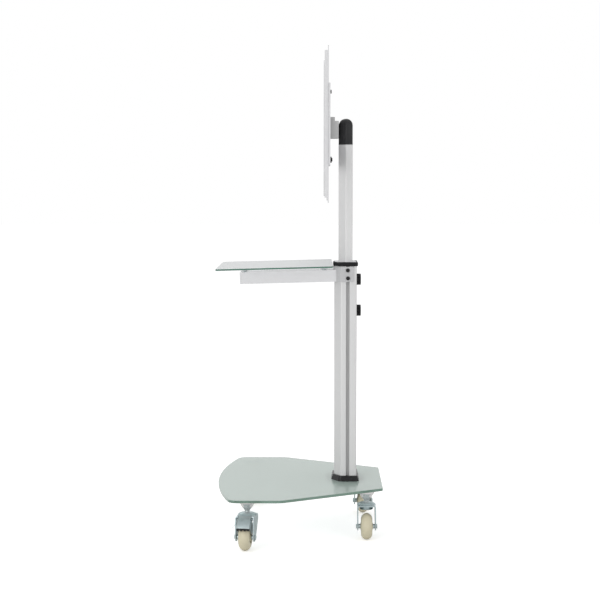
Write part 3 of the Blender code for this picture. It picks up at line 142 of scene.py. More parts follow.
def shader_node(tree, kind, inputs, **settings):
    """A shader node with its settings and its inputs."""
    made = tree.nodes.new(f"ShaderNode{kind}")
    for key, value in settings.items():
        setattr(made, key, value)
    feed(made, inputs)
    return made


def maths(tree, operation, *terms):
    """The output of a Math node on values and other nodes' outputs."""
    return shader_node(tree, "Math", dict(enumerate(terms)), operation=operation).outputs[0]


def ranged(tree, value, **ends):
    """The output of a Map Range node; each end is named like its socket."""
    inputs = {key.replace("_", " ").title(): end for key, end in ends.items()}
    return shader_node(tree, "MapRange", {"Value": value, **inputs}).outputs["Result"]


def mixed(tree, factor, first, second):
    """A colour between two others."""
    inputs = {"Factor": factor, "A": first, "B": second}
    return shader_node(tree, "Mix", inputs, data_type="RGBA").outputs["Result"]


def new_group(name, inputs, outputs):
    """An empty node group with its named sockets; each input is (name, kind, default)."""
    tree = bpy.data.node_groups.new(name, "ShaderNodeTree")
    for title, kind, default in inputs:
        made = tree.interface.new_socket(name=title, in_out="INPUT", socket_type=f"NodeSocket{kind}")
        if default is not None:
            made.default_value = default
    for title, kind in outputs:
        tree.interface.new_socket(name=title, in_out="OUTPUT", socket_type=f"NodeSocket{kind}")
    entry = tree.nodes.new("NodeGroupInput")
    leave = tree.nodes.new("NodeGroupOutput")
    return tree, entry.outputs, leave


def mottle_group():
    """Colour that wanders a little over a surface."""
    name = "Mottle"
    if name in bpy.data.node_groups:
        return bpy.data.node_groups[name]
    inputs = (
        ("Vector", "Vector", None), ("Colour", "Color", (0.5, 0.5, 0.5, 1.0)),
        ("Scale", "Float", 20.0), ("Amount", "Float", 0.05),
    )
    tree, given, leave = new_group(name, inputs, (("Colour", "Color"),))
    cloud = shader_node(tree, "TexNoise", {"Vector": given["Vector"], "Scale": given["Scale"], "Detail": 4.0})
    centred = maths(tree, "SUBTRACT", cloud.outputs["Fac"], 0.5)
    factor = maths(tree, "ADD", maths(tree, "MULTIPLY", centred, given["Amount"]), 1.0)
    tint = shader_node(tree, "VectorMath", {0: given["Colour"], "Scale": factor}, operation="SCALE")
    feed(leave, {"Colour": tint.outputs[0]})
    return tree


def grain_group():
    """Fine relief, stretched along one axis by the vector that comes in, with its roughness."""
    name = "Grain"
    if name in bpy.data.node_groups:
        return bpy.data.node_groups[name]
    inputs = (
        ("Vector", "Vector", None), ("Stretch", "Vector", (1.0, 1.0, 1.0)),
        ("Scale", "Float", 900.0), ("Roughness", "Float", 0.4), ("Amount", "Float", 0.06),
    )
    tree, given, leave = new_group(name, inputs, (("Height", "Float"), ("Roughness", "Float")))
    pull = shader_node(tree, "VectorMath", {0: given["Vector"], 1: given["Stretch"]}, operation="MULTIPLY")
    cloud = shader_node(tree, "TexNoise", {"Vector": pull.outputs[0], "Scale": given["Scale"], "Detail": 3.0})
    height = cloud.outputs["Fac"]
    spread = ranged(tree, height, to_min=-0.5, to_max=0.5)
    roughness = maths(tree, "MULTIPLY_ADD", spread, given["Amount"], given["Roughness"])
    feed(leave, {"Height": height, "Roughness": roughness})
    return tree


def rubbed_group():
    """Edges that handling has rubbed to another colour, where the surface is most convex."""
    name = "Rubbed edges"
    if name in bpy.data.node_groups:
        return bpy.data.node_groups[name]
    inputs = (
        ("Colour", "Color", (0.5, 0.5, 0.5, 1.0)), ("Rubbed", "Color", (0.8, 0.8, 0.8, 1.0)),
        ("Amount", "Float", 0.5),
    )
    tree, given, leave = new_group(name, inputs, (("Colour", "Color"),))
    shape = tree.nodes.new("ShaderNodeNewGeometry")
    convex = ranged(tree, shape.outputs["Pointiness"], from_min=0.52, from_max=0.60)
    strength = maths(tree, "MULTIPLY", convex, given["Amount"])
    feed(leave, {"Colour": mixed(tree, strength, given["Colour"], given["Rubbed"])})
    return tree


# Materials


def new_material(name):
    """A material with its node tree and its Principled shader."""
    made = bpy.data.materials.new(name)
    made.use_nodes = True
    return made, made.node_tree, made.node_tree.nodes["Principled BSDF"]


def placed(tree):
    """Object coordinates, centred on the cart's column by a Mapping node."""
    low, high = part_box("column_extrusion")
    where = tree.nodes.new("ShaderNodeTexCoord")
    inputs = {"Vector": where.outputs["Object"], "Location": -(low + high) / 2}
    return shader_node(tree, "Mapping", inputs).outputs["Vector"]


def mottled(tree, place, colour, scale, amount):
    """A wandering colour, from the Mottle group."""
    inputs = {"Vector": place, "Colour": (*colour, 1.0), "Scale": scale, "Amount": amount}
    return shader_node(tree, "Group", inputs, node_tree=mottle_group()).outputs["Colour"]


def grained(tree, place, stretch, scale, roughness, amount):
    """Relief and roughness, from the Grain group."""
    inputs = {
        "Vector": place, "Stretch": stretch, "Scale": scale, "Roughness": roughness, "Amount": amount,
    }
    return shader_node(tree, "Group", inputs, node_tree=grain_group()).outputs


def toned(colour, level):
    """A colour made lighter or darker."""
    return tuple(level * part for part in colour)


def finish_material(
    name, colour, roughness, metallic=0.0, mottle=0.05, mottle_scale=14.0, grain=0.06, grain_scale=900.0,
    stretch=(1.0, 1.0, 1.0), relief=0.05, relief_depth=0.0002, rubbed=None, rubbed_amount=0.5, coat=0.0,
    specular=0.5,
):
    """An opaque finish: wandering colour, grain in roughness and relief, and rubbed edges."""
    name = f"cart_{name}"
    if name in bpy.data.materials:
        return bpy.data.materials[name]
    made, tree, shader = new_material(name)
    place = placed(tree)
    tone = mottled(tree, place, colour, mottle_scale, mottle)
    if rubbed is not None:
        inputs = {"Colour": tone, "Rubbed": (*rubbed, 1.0), "Amount": rubbed_amount}
        tone = shader_node(tree, "Group", inputs, node_tree=rubbed_group()).outputs["Colour"]
    fine = grained(tree, place, stretch, grain_scale, roughness, grain)
    inputs = {"Height": fine["Height"], "Strength": relief, "Distance": relief_depth}
    bump = shader_node(tree, "Bump", inputs)
    feed(shader, {
        "Base Color": tone, "Metallic": metallic, "Roughness": fine["Roughness"],
        "Normal": bump.outputs["Normal"], "Specular IOR Level": specular,
    })
    if coat:
        feed(shader, {"Coat Weight": coat, "Coat Roughness": 0.15})
    return made


def glass_material(name, facing, grazing, roughness, clearness, specular=0.5):
    """Glass with its tint and haze, darker where it is seen along its faces, that passes most light on. The darker
    colour along the faces is partly a deeper tint through more glass and mostly a painted reflection.
    """
    name = f"cart_{name}"
    if name in bpy.data.materials:
        return bpy.data.materials[name]
    held_back = 0.25
    made, tree, shader = new_material(name)
    place = placed(tree)
    # The second colour, taken along the faces, is partly a deeper tint and mostly a painted reflection.
    clear, deep = (mottled(tree, place, tint, scale=2.0, amount=0.02) for tint in (facing, grazing))
    smudge = grained(tree, place, (1.0, 1.0, 1.0), 4.0, roughness, amount=roughness * 0.1)
    angle = shader_node(tree, "LayerWeight", {"Blend": 0.30})
    path = tree.nodes.new("ShaderNodeLightPath").outputs
    lit = maths(tree, "MAXIMUM", path["Is Shadow Ray"], path["Is Diffuse Ray"])
    unseen = maths(tree, "MAXIMUM", lit, path["Is Glossy Ray"])
    feed(shader, {
        "Base Color": mixed(tree, angle.outputs["Facing"], clear, deep),
        "Roughness": smudge["Roughness"], "Alpha": ranged(tree, unseen, to_min=1.0, to_max=held_back),
        "Transmission Weight": clearness, "Specular IOR Level": specular, "IOR": 1.5,
    })
    return made


def glass_edge_material(name, colour):
    """The ground edge, where the eye looks through the length of the glass."""
    made = finish_material(
        name, colour, 0.18, mottle=0.9, mottle_scale=7.0, grain=0.08, grain_scale=300.0, relief=0.02,
        coat=0.4,
    )
    feed(made.node_tree.nodes["Principled BSDF"], {"Transmission Weight": 0.25})
    return made


def aluminium(name="anodised_aluminium", level=1.0, roughness=0.42, metallic=0.35):
    return finish_material(
        name, toned(colours().aluminium, level), roughness, metallic=metallic, mottle=0.03, mottle_scale=6.0,
        grain=0.10, grain_scale=700.0, stretch=(1.0, 1.0, 0.012), relief=0.10, relief_depth=0.0001,
    )


# A darker copy of the aluminium: painted shade for the insides of the T-slots.
def recessed_aluminium():
    return aluminium("slot_aluminium", level=0.80, roughness=0.50, metallic=0.30)


def powder_coat(name="powder_coat", level=1.0, rubbed=(0.74, 0.74, 0.75)):
    return finish_material(
        name, toned(colours().powder, level), 0.42, mottle=0.03, mottle_scale=9.0, grain=0.10,
        grain_scale=650.0, relief=0.16, rubbed=rubbed, rubbed_amount=0.4,
    )


# A darker copy of the powder coat: painted shade on the shelf's saddle.
def saddle_coat():
    return powder_coat("saddle_coat", level=0.80, rubbed=None)


# A lighter copy of the powder coat: painted light on the shelf's arm under the glass.
def arm_coat():
    return powder_coat("arm_coat", level=1.13, rubbed=None)


def grey_coat():
    return finish_material(
        "grey_coat", colours().grey_coat, 0.45, grain=0.10, grain_scale=650.0, relief=0.16,
        rubbed=(0.52, 0.52, 0.52), rubbed_amount=0.4,
    )


def black_plastic(name="black_plastic", roughness=0.40, grain=0.12, relief=0.20, specular=0.15):
    return finish_material(
        name, colours().black_plastic, roughness, mottle=0.30, mottle_scale=30.0, grain=grain,
        grain_scale=1400.0, relief=relief, relief_depth=0.00015, rubbed=(0.03, 0.03, 0.033),
        specular=specular,
    )


def collar_plastic():
    return black_plastic("collar_plastic", roughness=0.24, grain=0.10, relief=0.12, specular=0.22)


def cap_plastic():
    """The cap's fine upright ribs show as streaks in its relief; its black is twice the other black plastic's, a
    painted sheen.
    """
    return finish_material(
        "cap_plastic", toned(colours().black_plastic, 2.0), 0.34, mottle=0.5, mottle_scale=60.0, grain=0.3,
        grain_scale=420.0, stretch=(1.0, 1.0, 0.03), relief=0.6, relief_depth=0.0004,
        rubbed=(0.05, 0.05, 0.055), specular=0.3,
    )


def grey_plastic():
    return finish_material(
        "grey_plastic", colours().grey_plastic, 0.38, mottle=0.06, grain=0.10, grain_scale=1200.0,
        relief=0.15,
    )


def nylon():
    return finish_material(
        "nylon", colours().nylon, 0.40, mottle=0.16, mottle_scale=38.0, grain=0.14, grain_scale=500.0,
        relief=0.12, rubbed=(0.70, 0.66, 0.52), rubbed_amount=0.4,
    )


def zinc(name="zinc_plate", level=1.0, roughness=0.33, metallic=0.85, rubbed=(0.62, 0.68, 0.68)):
    return finish_material(
        name, toned(colours().zinc, level), roughness, metallic=metallic, mottle=0.70, mottle_scale=95.0,
        grain=0.22, grain_scale=420.0, relief=0.12, rubbed=rubbed, rubbed_amount=0.7,
    )


# A darker copy of the zinc: painted shade on the brake hoods.
def hood_zinc():
    return zinc("hood_zinc_plate", level=0.74, roughness=0.36, metallic=0.80, rubbed=(0.56, 0.62, 0.62))


def cone_plate():
    return finish_material(
        "mount_plate", colours().cone_plate, 0.24, metallic=0.8, mottle=0.22, mottle_scale=45.0, grain=0.12,
        grain_scale=420.0, relief=0.08, rubbed=(0.75, 0.72, 0.72),
    )


def black_oxide():
    return finish_material(
        "black_oxide", colours().black_oxide, 0.36, metallic=0.5, mottle=0.35, mottle_scale=120.0, grain=0.14,
        grain_scale=1600.0, relief=0.12, rubbed=(0.10, 0.10, 0.10), rubbed_amount=0.6,
    )


def rubber():
    return finish_material(
        "rubber", colours().rubber, 0.70, mottle=0.30, mottle_scale=60.0, grain=0.16, grain_scale=1500.0,
        relief=0.30, relief_depth=0.0003,
    )


def bumper_plastic():
    # The bumper darkens along its faces the same way: partly a deeper tint, mostly a painted reflection.
    facing, grazing = (0.93, 0.94, 0.94), (0.70, 0.72, 0.73)
    return glass_material("clear_bumper", facing, grazing, roughness=0.12, clearness=0.85)


# Modelling


def alone(piece):
    """Select one piece and make it active."""
    bpy.ops.object.select_all(action="DESELECT")
    piece.select_set(True)
    bpy.context.view_layer.objects.active = piece


def edit(piece):
    alone(piece)
    bpy.ops.object.mode_set(mode="EDIT")
    bpy.ops.mesh.select_all(action="SELECT")


def leave_edit():
    bpy.ops.object.mode_set(mode="OBJECT")


def choose(piece, kind, test):
    """In edit mode, select only the faces, edges or vertices that pass a test."""
    bpy.ops.mesh.select_mode(type=kind)
    bpy.ops.mesh.select_all(action="DESELECT")
    mesh = bmesh.from_edit_mesh(piece.data)
    found = {"VERT": mesh.verts, "EDGE": mesh.edges, "FACE": mesh.faces}[kind]
    for element in found:
        element.select_set(test(element))
    mesh.select_flush_mode()
    bmesh.update_edit_mesh(piece.data)


def apply(piece, kind, name, **values):
    """Add a modifier with its values and apply it."""
    alone(piece)
    modifier = piece.modifiers.new(name, kind)
    for key, value in values.items():
        setattr(modifier, key, value)
    bpy.ops.object.modifier_apply(modifier=name)


def rounded(piece, width, segments=2, angle=40.0):
    apply(
        piece, "BEVEL", "edges", width=width, segments=segments, limit_method="ANGLE",
        angle_limit=math.radians(angle), use_clamp_overlap=True, miter_outer="MITER_ARC",
    )


def shade(piece, material, angle=None):
    """Smooth shading up to an angle, and one material."""
    alone(piece)
    bpy.ops.object.shade_smooth_by_angle(angle=sizes().smooth_angle if angle is None else angle)
    piece.data.materials.clear()
    piece.data.materials.append(material)


def put(piece, matrix):
    """Move a piece's mesh, so that its object stays at the origin."""
    alone(piece)
    piece.matrix_world = matrix @ piece.matrix_world
    bpy.ops.object.transform_apply(location=True, rotation=True, scale=True)


def twin(piece, name, matrix):
    """A copy with its own mesh, in another place."""
    made = piece.copy()
    made.data = piece.data.copy()
    made.name = name
    made.data.name = name
    bpy.context.scene.collection.objects.link(made)
    put(made, matrix)
    return made


def discard(piece):
    bpy.data.objects.remove(piece, do_unlink=True)


def primitive(name, add, **values):
    """A primitive under its name, with its object at the origin."""
    bpy.ops.object.select_all(action="DESELECT")
    add(**values)
    piece = bpy.context.object
    piece.name = name
    piece.data.name = name
    put(piece, Matrix.Identity(4))
    return piece


def paint_faces(piece, material, test):
    """Add a second material for the faces that pass a test."""
    piece.data.materials.append(material)
    edit(piece)
    choose(piece, "FACE", test)
    piece.active_material_index = 1
    bpy.ops.object.material_slot_assign()
    leave_edit()


def fluted(piece, lobes, beyond, limit, depth):
    """Scale the outer vertices between a turned piece's lobes towards its axis."""
    edit(piece)
    choose(
        piece, "VERT",
        lambda vertex: vertex.co.xy.length > beyond
        and math.cos(lobes * math.atan2(vertex.co.y, vertex.co.x)) < limit,
    )
    bpy.ops.transform.resize(value=(depth, depth, 1.0), center_override=(0.0, 0.0, 0.0))
    leave_edit()


def joined(pieces, name):
    """Make one object of several."""
    alone(pieces[0])
    for piece in pieces:
        piece.select_set(True)
    bpy.ops.object.join()
    made = bpy.context.object
    made.name = name
    made.data.name = name
    return made


def from_node(node, name):
    """A merged copy of a CAD node, with its flat faces made whole."""
    made = bpy.data.objects.new(name, frame["nodes"][node].data.copy())
    bpy.context.scene.collection.objects.link(made)
    made.data.name = name
    made.data.materials.clear()
    edit(made)
    bpy.ops.mesh.customdata_custom_splitnormals_clear()
    bpy.ops.mesh.remove_doubles(threshold=0.00002)
    bpy.ops.mesh.dissolve_limited(angle_limit=math.radians(0.6))
    bpy.ops.mesh.normals_make_consistent(inside=False)
    leave_edit()
    return made


def turned(name, profile, steps=None, closed=False):
    """A ring, extruded and scaled along a profile of (radius, height) about Z."""
    steps = sizes().round_steps if steps is None else steps
    radius, height = profile[0]
    piece = primitive(
        name, bpy.ops.mesh.primitive_circle_add, vertices=steps, radius=radius, location=(0.0, 0.0, height),
    )
    edit(piece)
    if not closed:
        bpy.ops.mesh.edge_face_add()
        choose(piece, "EDGE", lambda edge: True)
    for (last, low), (following, high) in zip(profile, profile[1:]):
        bpy.ops.mesh.extrude_edges_move(TRANSFORM_OT_translate={"value": (0.0, 0.0, high - low)})
        growth = following / last
        bpy.ops.transform.resize(value=(growth, growth, 1.0), center_override=(0.0, 0.0, high))
    if closed:
        choose(piece, "EDGE", lambda edge: edge.is_boundary)
        bpy.ops.mesh.bridge_edge_loops()
    else:
        bpy.ops.mesh.edge_face_add()
    bpy.ops.mesh.select_all(action="SELECT")
    bpy.ops.mesh.normals_make_consistent(inside=False)
    leave_edit()
    return piece


def mirrored(half):
    """A closed profile from its upper half, which runs outwards from the bore."""
    return half + [(size, -height) for size, height in reversed(half)]


def prism(name, sides, radius, low, high, chamfer=0.0):
    """A nut or a bolt's head: a cylinder of few sides with its ends chamfered."""
    piece = primitive(
        name, bpy.ops.mesh.primitive_cylinder_add, vertices=sides, radius=radius, depth=high - low,
        location=(0.0, 0.0, (low + high) / 2),
    )
    if chamfer:
        edit(piece)
        choose(piece, "EDGE", lambda edge: abs(edge.verts[0].co.z - edge.verts[1].co.z) < 1e-6)
        bpy.ops.mesh.bevel(offset=chamfer, segments=2, affect="EDGES")
        leave_edit()
    return piece


def along(direction, at):
    """The matrix that turns +Z to a direction and moves the origin to a point."""
    turn = Vector(direction).to_track_quat("Z", "Y").to_matrix().to_4x4()
    return Matrix.Translation(Vector(at)) @ turn


def socket_screw(name, radius, height, shank, reach):
    """A button-head screw with a hexagon socket: its seat at the origin, its head along +Z."""
    head = turned(
        name,
        (
            (shank, -reach), (shank, 0.0), (radius * 0.97, 0.0), (radius, height * 0.12),
            (radius, height * 0.45), (radius * 0.95, height * 0.74), (radius * 0.84, height * 0.92),
            (radius * 0.70, height),
        ),
        steps=36,
    )
    socket = prism("socket", 6, radius * 0.52, height * 0.42, height * 1.5)
    apply(head, "BOOLEAN", "socket", operation="DIFFERENCE", object=socket, solver="EXACT")
    discard(socket)
    return head


def ride(piece, body, slot, *nodes):
    """Hang a piece under the empty of the body that carries it, and hide the nodes it stands for. The slot, its
    finish, is not used.
    """
    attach(piece, body)
    if nodes:
        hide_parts(*nodes)


def dress(node, material):
    """Give a CAD node that stays its finish."""
    for slot in frame["nodes"][node].material_slots:
        slot.material = material


def refined(node, name, body, slot, material, width=None, segments=2, angle=40.0):
    """A CAD node with its edges rounded, in its finish; its large faces rule the normals."""
    piece = from_node(node, name)
    rounded(piece, sizes().edge_round if width is None else width, segments, angle)
    shade(piece, material)
    apply(piece, "WEIGHTED_NORMAL", "faces", mode="FACE_AREA", weight=100, keep_sharp=True)
    ride(piece, body, slot, node)
    return piece


def glass_sheet(node, name, body, slot, material, edge):
    """A sheet of glass whose ground edge has its own depth of colour."""
    piece = refined(node, name, body, slot, material, sizes().glass_arris, angle=30.0)
    paint_faces(piece, edge, lambda face: abs(face.normal.z) < 0.4 and face.calc_area() > 0.0)


def bolt_from_node(node, name, body, nut_height=0.0045, nut_radius=None):
    """A button-head bolt along +Y with its nut, or a hand nut of a radius, in a CAD bolt's place."""
    low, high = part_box(node)
    centre = (low + high) / 2
    shank = 0.0030
    head_radius, head_height = 0.0055, 0.0033
    seat = low.y + head_height
    nut_seat = high.y - nut_height
    bolt = socket_screw(name, head_radius, head_height, shank, nut_seat - seat + nut_height)
    put(bolt, along((0.0, -1.0, 0.0), (centre.x, seat, centre.z)))
    if nut_radius:
        nut = turned(
            "nut",
            (
                (shank, 0.0), (nut_radius * 0.96, 0.0), (nut_radius, 0.0004), (nut_radius, nut_height * 0.62),
                (nut_radius * 0.95, nut_height * 0.70), (nut_radius * 0.60, nut_height * 0.72),
                (nut_radius * 0.56, nut_height), (shank, nut_height),
            ),
            steps=72, closed=True,
        )
        fluted(nut, lobes=24, beyond=nut_radius * 0.9, limit=0.0, depth=0.95)
    else:
        nut = turned(
            "nut",
            (
                (shank, 0.0), (head_radius, 0.0), (head_radius, nut_height * 0.16),
                (head_radius * 0.86, nut_height * 0.24), (shank, nut_height * 0.24),
            ),
            steps=36, closed=True,
        )
        flats = prism("flats", 6, head_radius * 0.95, nut_height * 0.2, nut_height, 0.0004)
        nut = joined([nut, flats], "nut")
    put(nut, along((0.0, 1.0, 0.0), (centre.x, nut_seat, centre.z)))
    shade(bolt, black_oxide())
    shade(nut, black_plastic())
    ride(joined([bolt, nut], name), body, "black_steel", node)


# Places of the casters, from the frame's joints


def joint(name):
    return next(entry for entry in frame["joints"] if entry["name"] == name)


def caster_matrix(corner):
    """Local X is the way the wheel trails, local Y the axle, and the origin is on the floor."""
    swivel = Vector(joint(f"{corner}_swivel")["pos_m"])
    trail = Vector(joint(f"{corner}_roll")["pos_m"]) - swivel
    turn = math.atan2(trail.y, trail.x)
    return Matrix.Translation((swivel.x, swivel.y, 0.0)) @ Matrix.Rotation(turn, 4, "Z")


def half_size(node):
    low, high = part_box(node)
    return (high - low) / 2


def axle_matrix(corner):
    """Local Z runs along the axle."""
    entry = joint(f"{corner}_roll")
    return along(entry["axis"], entry["pos_m"])


def at_casters(piece, name, place, body, slot, node=None):
    """Put a twin of a piece at each caster; a pair of braces in the body's name takes the corner."""
    for corner in CORNERS:
        made = twin(piece, f"{name}_{corner}", place(corner))
        nodes = (f"{node}_{corner}",) if node else ()
        ride(made, body.format(corner), slot, *nodes)
    discard(piece)


# Operators: one for each piece or group of like pieces


class CART_OT_base_glass(Operator):
    """Add the base glass with its ground edge"""

    bl_idname = "cart.base_glass"
    bl_label = "Base Glass"

    def execute(self, context):
        tint = glass_material(
            "tinted_glass", colours().base_glass, colours().base_glass_grazing, roughness=0.16,
            clearness=0.16, specular=0.12,
        )
        edge = glass_edge_material("base_glass_edge", colours().glass_edge)
        glass_sheet("base_glass", "base_glass_sheet", "stand", "tinted_glass", tint, edge)
        return {"FINISHED"}


class CART_OT_foot(Operator):
    """Dress the foot: collar, gasket, plate and the bolts under the glass"""

    bl_idname = "cart.foot"
    bl_label = "Foot"

    def execute(self, context):
        refined(
            "bottom_collar", "foot_collar", "stand", "black_plastic", collar_plastic(), sizes().mould_round,
            segments=3,
        )
        refined("foot_plate", "foot_plate_steel", "stand", "zinc_plate", zinc(), sizes().plate_round)
        dress("base_gasket", rubber())
        for corner in CORNERS:
            self.bolt(corner)
        return {"FINISHED"}

    def bolt(self, corner):
        node = f"foot_bolt_{corner}"
        low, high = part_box(node)
        centre = (low + high) / 2
        plate_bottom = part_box("foot_plate")[0].z
        head = plate_bottom - low.z
        shank = 0.0030
        screw = socket_screw(f"foot_screw_{corner}", (high.x - low.x) / 2, head, shank, high.z - plate_bottom)
        shade(screw, zinc())
        put(screw, along((0.0, 0.0, -1.0), (centre.x, centre.y, plate_bottom)))
        ride(screw, "stand", "zinc_plate", node)


class CART_OT_column(Operator):
    """Dress the column extrusion, its top collar and the guide bush"""

    bl_idname = "cart.column"
    bl_label = "Column"

    def execute(self, context):
        small_round = sizes().fine_round
        profile = refined(
            "column_extrusion", "column_profile", "stand", "anodised_aluminium", aluminium(), small_round,
            segments=1, angle=50.0,
        )
        self.recess(profile)
        refined("top_collar", "top_collar_ring", "stand", "black_plastic", black_plastic(), segments=3)
        refined("guide_bush", "guide_bush_insert", "stand", "grey_plastic", grey_plastic(), small_round)
        return {"FINISHED"}

    def recess(self, profile):
        """The inside faces of the two T-slots, in a darker copy of the aluminium: painted shade."""
        low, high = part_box("column_extrusion")
        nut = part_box("clamp_nut_right")
        beside, deep, skin = 0.002, 0.012, 0.0003

        def inside(face):
            middle = face.calc_center_median()
            return (
                high.x - deep < abs(middle.x) < high.x - skin and abs(face.normal.z) < 0.5
                and nut[0].y - beside < middle.y < nut[1].y + beside
            )

        paint_faces(profile, recessed_aluminium(), inside)


class CART_OT_knobs(Operator):
    """Add the two fluted clamp knobs behind the column"""

    bl_idname = "cart.knobs"
    bl_label = "Clamp Knobs"

    def execute(self, context):
        for level in ("upper", "lower"):
            self.knob(level)
        return {"FINISHED"}

    def knob(self, level):
        node = f"clamp_knob_{level}"
        low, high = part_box(node)
        centre = (low + high) / 2
        radius = (high.x - low.x) / 2
        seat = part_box("column_extrusion")[1].y + 0.0003
        height = high.y - seat
        grip = turned(
            f"knob_{level}",
            (
                (0.0038, low.y - seat), (0.0038, 0.0), (radius * 0.62, 0.0), (radius * 0.94, 0.0),
                (radius, height * 0.06), (radius, height * 0.86), (radius * 0.985, height * 0.93),
                (radius * 0.95, height * 0.98), (radius * 0.90, height), (radius * 0.66, height),
                (radius * 0.62, height * 0.95), (radius * 0.20, height * 0.93),
            ),
            steps=96,
        )
        fluted(grip, lobes=8, beyond=radius * 0.85, limit=-0.2, depth=0.93)
        shade(grip, black_plastic(), math.radians(50))
        put(grip, along((0.0, 1.0, 0.0), (centre.x, seat, centre.z)))
        ride(grip, f"{level}_knob", "black_plastic", node)


class CART_OT_mast(Operator):
    """Dress the telescoping tube, its shoe, its cap and the head bracket"""

    bl_idname = "cart.mast"
    bl_label = "Mast"

    def execute(self, context):
        refined(
            "inner_tube", "mast_tube", "mast", "anodised_aluminium", aluminium(), sizes().fine_round,
            segments=1, angle=50.0,
        )
        dress("tube_shoe", black_plastic())
        self.cap()
        refined("head_bracket", "head_clamp", "mast", "grey_paint", grey_coat())
        for level in ("lower", "upper"):
            bolt_from_node(f"head_bolt_{level}", f"head_screw_{level}", "mast")
        return {"FINISHED"}

    def cap(self):
        """The domed cap, smoothed, with a slightly wider rim round its foot."""
        low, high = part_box("tube_cap")
        rim_height, wider, deeper = 0.0035, 1.004, 1.009
        cap = from_node("tube_cap", "mast_cap")
        rounded(cap, width=0.0009, segments=3, angle=28.0)
        shade(cap, cap_plastic(), math.radians(42))
        ride(cap, "mast", "black_plastic", "tube_cap")
        centre = (low + high) / 2
        rim = from_node("tube_cap", "mast_cap_rim")
        edit(rim)
        bpy.ops.mesh.bisect(
            plane_co=(centre.x, centre.y, low.z + rim_height), plane_no=(0.0, 0.0, 1.0), clear_outer=True,
            use_fill=True,
        )
        bpy.ops.mesh.select_all(action="SELECT")
        bpy.ops.transform.resize(value=(wider, deeper, 1.0), center_override=(centre.x, centre.y, low.z))
        bpy.ops.mesh.normals_make_consistent(inside=False)
        leave_edit()
        rounded(rim, sizes().edge_round)
        shade(rim, cap_plastic())
        ride(rim, "mast", "black_plastic")


class CART_OT_wall_plate(Operator):
    """Dress the wall plate and its bolts"""

    bl_idname = "cart.wall_plate"
    bl_label = "Wall Plate"

    def execute(self, context):
        refined("wall_plate", "wall_plate_pan", "mast", "painted_steel", powder_coat())
        for side in SIDES:
            bolt_from_node(f"plate_bolt_{side}", f"plate_screw_{side}", "mast")
        return {"FINISHED"}


class CART_OT_screen_arms(Operator):
    """Dress the two upright slotted arms, with their bolts and hand nuts"""

    bl_idname = "cart.screen_arms"
    bl_label = "Screen Arms"

    def execute(self, context):
        for side in SIDES:
            body = f"{side}_screen_arm"
            refined(f"screen_arm_{side}", f"upright_{side}", body, "painted_steel", powder_coat())
            bolt_from_node(f"arm_bolt_{side}_upper", f"upright_screw_{side}_upper", body, nut_height=0.0050)
            bolt_from_node(
                f"arm_bolt_{side}_lower", f"upright_screw_{side}_lower", body, nut_height=0.0075,
                nut_radius=0.0085,
            )
        return {"FINISHED"}


class CART_OT_shelf(Operator):
    """Add the shelf: saddle and arm, screws, bumpers and glass"""

    bl_idname = "cart.shelf"
    bl_label = "Shelf"

    def execute(self, context):
        # The saddle wears the darker copy of the powder coat as painted shade, and the arm in front of the column
        # wears the lighter copy as painted light.
        saddle = refined("shelf_bracket", "shelf_saddle", "shelf", "painted_steel", saddle_coat())
        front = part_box("column_extrusion")[0].y - 0.002
        paint_faces(saddle, arm_coat(), lambda face: face.calc_center_median().y < front)
        for side in SIDES:
            dress(f"clamp_nut_{side}", zinc())
            for level in ("lower", "upper"):
                self.clamp_screw(side, level)
            for row in ("front", "rear"):
                self.bumper(row, side)
        glass = glass_material(
            "clear_glass", colours().shelf_glass, colours().shelf_glass_grazing, roughness=0.30,
            clearness=0.08, specular=0.12,
        )
        edge = glass_edge_material("shelf_glass_edge", colours().shelf_edge)
        glass_sheet("shelf_glass", "shelf_glass_sheet", "shelf", "clear_glass", glass, edge)
        return {"FINISHED"}

    def clamp_screw(self, side, level):
        node = f"clamp_screw_{side}_{level}"
        low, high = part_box(node)
        centre = (low + high) / 2
        head_height = 0.0040
        out = 1.0 if side == "right" else -1.0
        outer = high.x if side == "right" else low.x
        seat = outer - out * head_height
        screw = socket_screw(
            f"saddle_screw_{side}_{level}", (high.y - low.y) / 2, head_height, 0.0030,
            high.x - low.x - head_height,
        )
        shade(screw, black_oxide())
        put(screw, along((out, 0.0, 0.0), (seat, centre.y, centre.z)))
        ride(screw, "shelf", "black_steel", node)

    def bumper(self, row, side):
        """A clear spool with a plated core, between the arm and the drooping glass."""
        node = f"shelf_pad_{row}_{side}"
        low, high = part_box(node)
        centre = (low + high) / 2
        radius = (high.x - low.x) / 2
        normal = next(entry for entry in frame["record"]["mounts"] if entry["name"] == "shelf_top")["axis"]
        droop = math.atan2(-normal[1], normal[2])
        half = ((high.z - low.z) - 2 * radius * math.sin(abs(droop))) / (2 * math.cos(droop))
        core_radius = radius * 0.42
        upper = [
            (core_radius + 0.0003, half), (radius * 0.88, half), (radius * 0.98, half * 0.94),
            (radius, half * 0.80), (radius * 0.98, half * 0.62), (radius * 0.80, half * 0.46),
            (radius * 0.76, half * 0.20),
        ]
        spool = turned(f"bumper_{row}_{side}", mirrored(upper), closed=True)
        place = Matrix.Translation(centre) @ Matrix.Rotation(droop, 4, "X")
        shade(spool, bumper_plastic())
        put(spool, place)
        ride(spool, "shelf", "clear_plastic", node)
        core = prism(f"bumper_core_{row}_{side}", 24, core_radius, -half + 0.0002, half - 0.0002, 0.0004)
        shade(core, zinc())
        put(core, place)
        ride(core, "shelf", "zinc_plate")


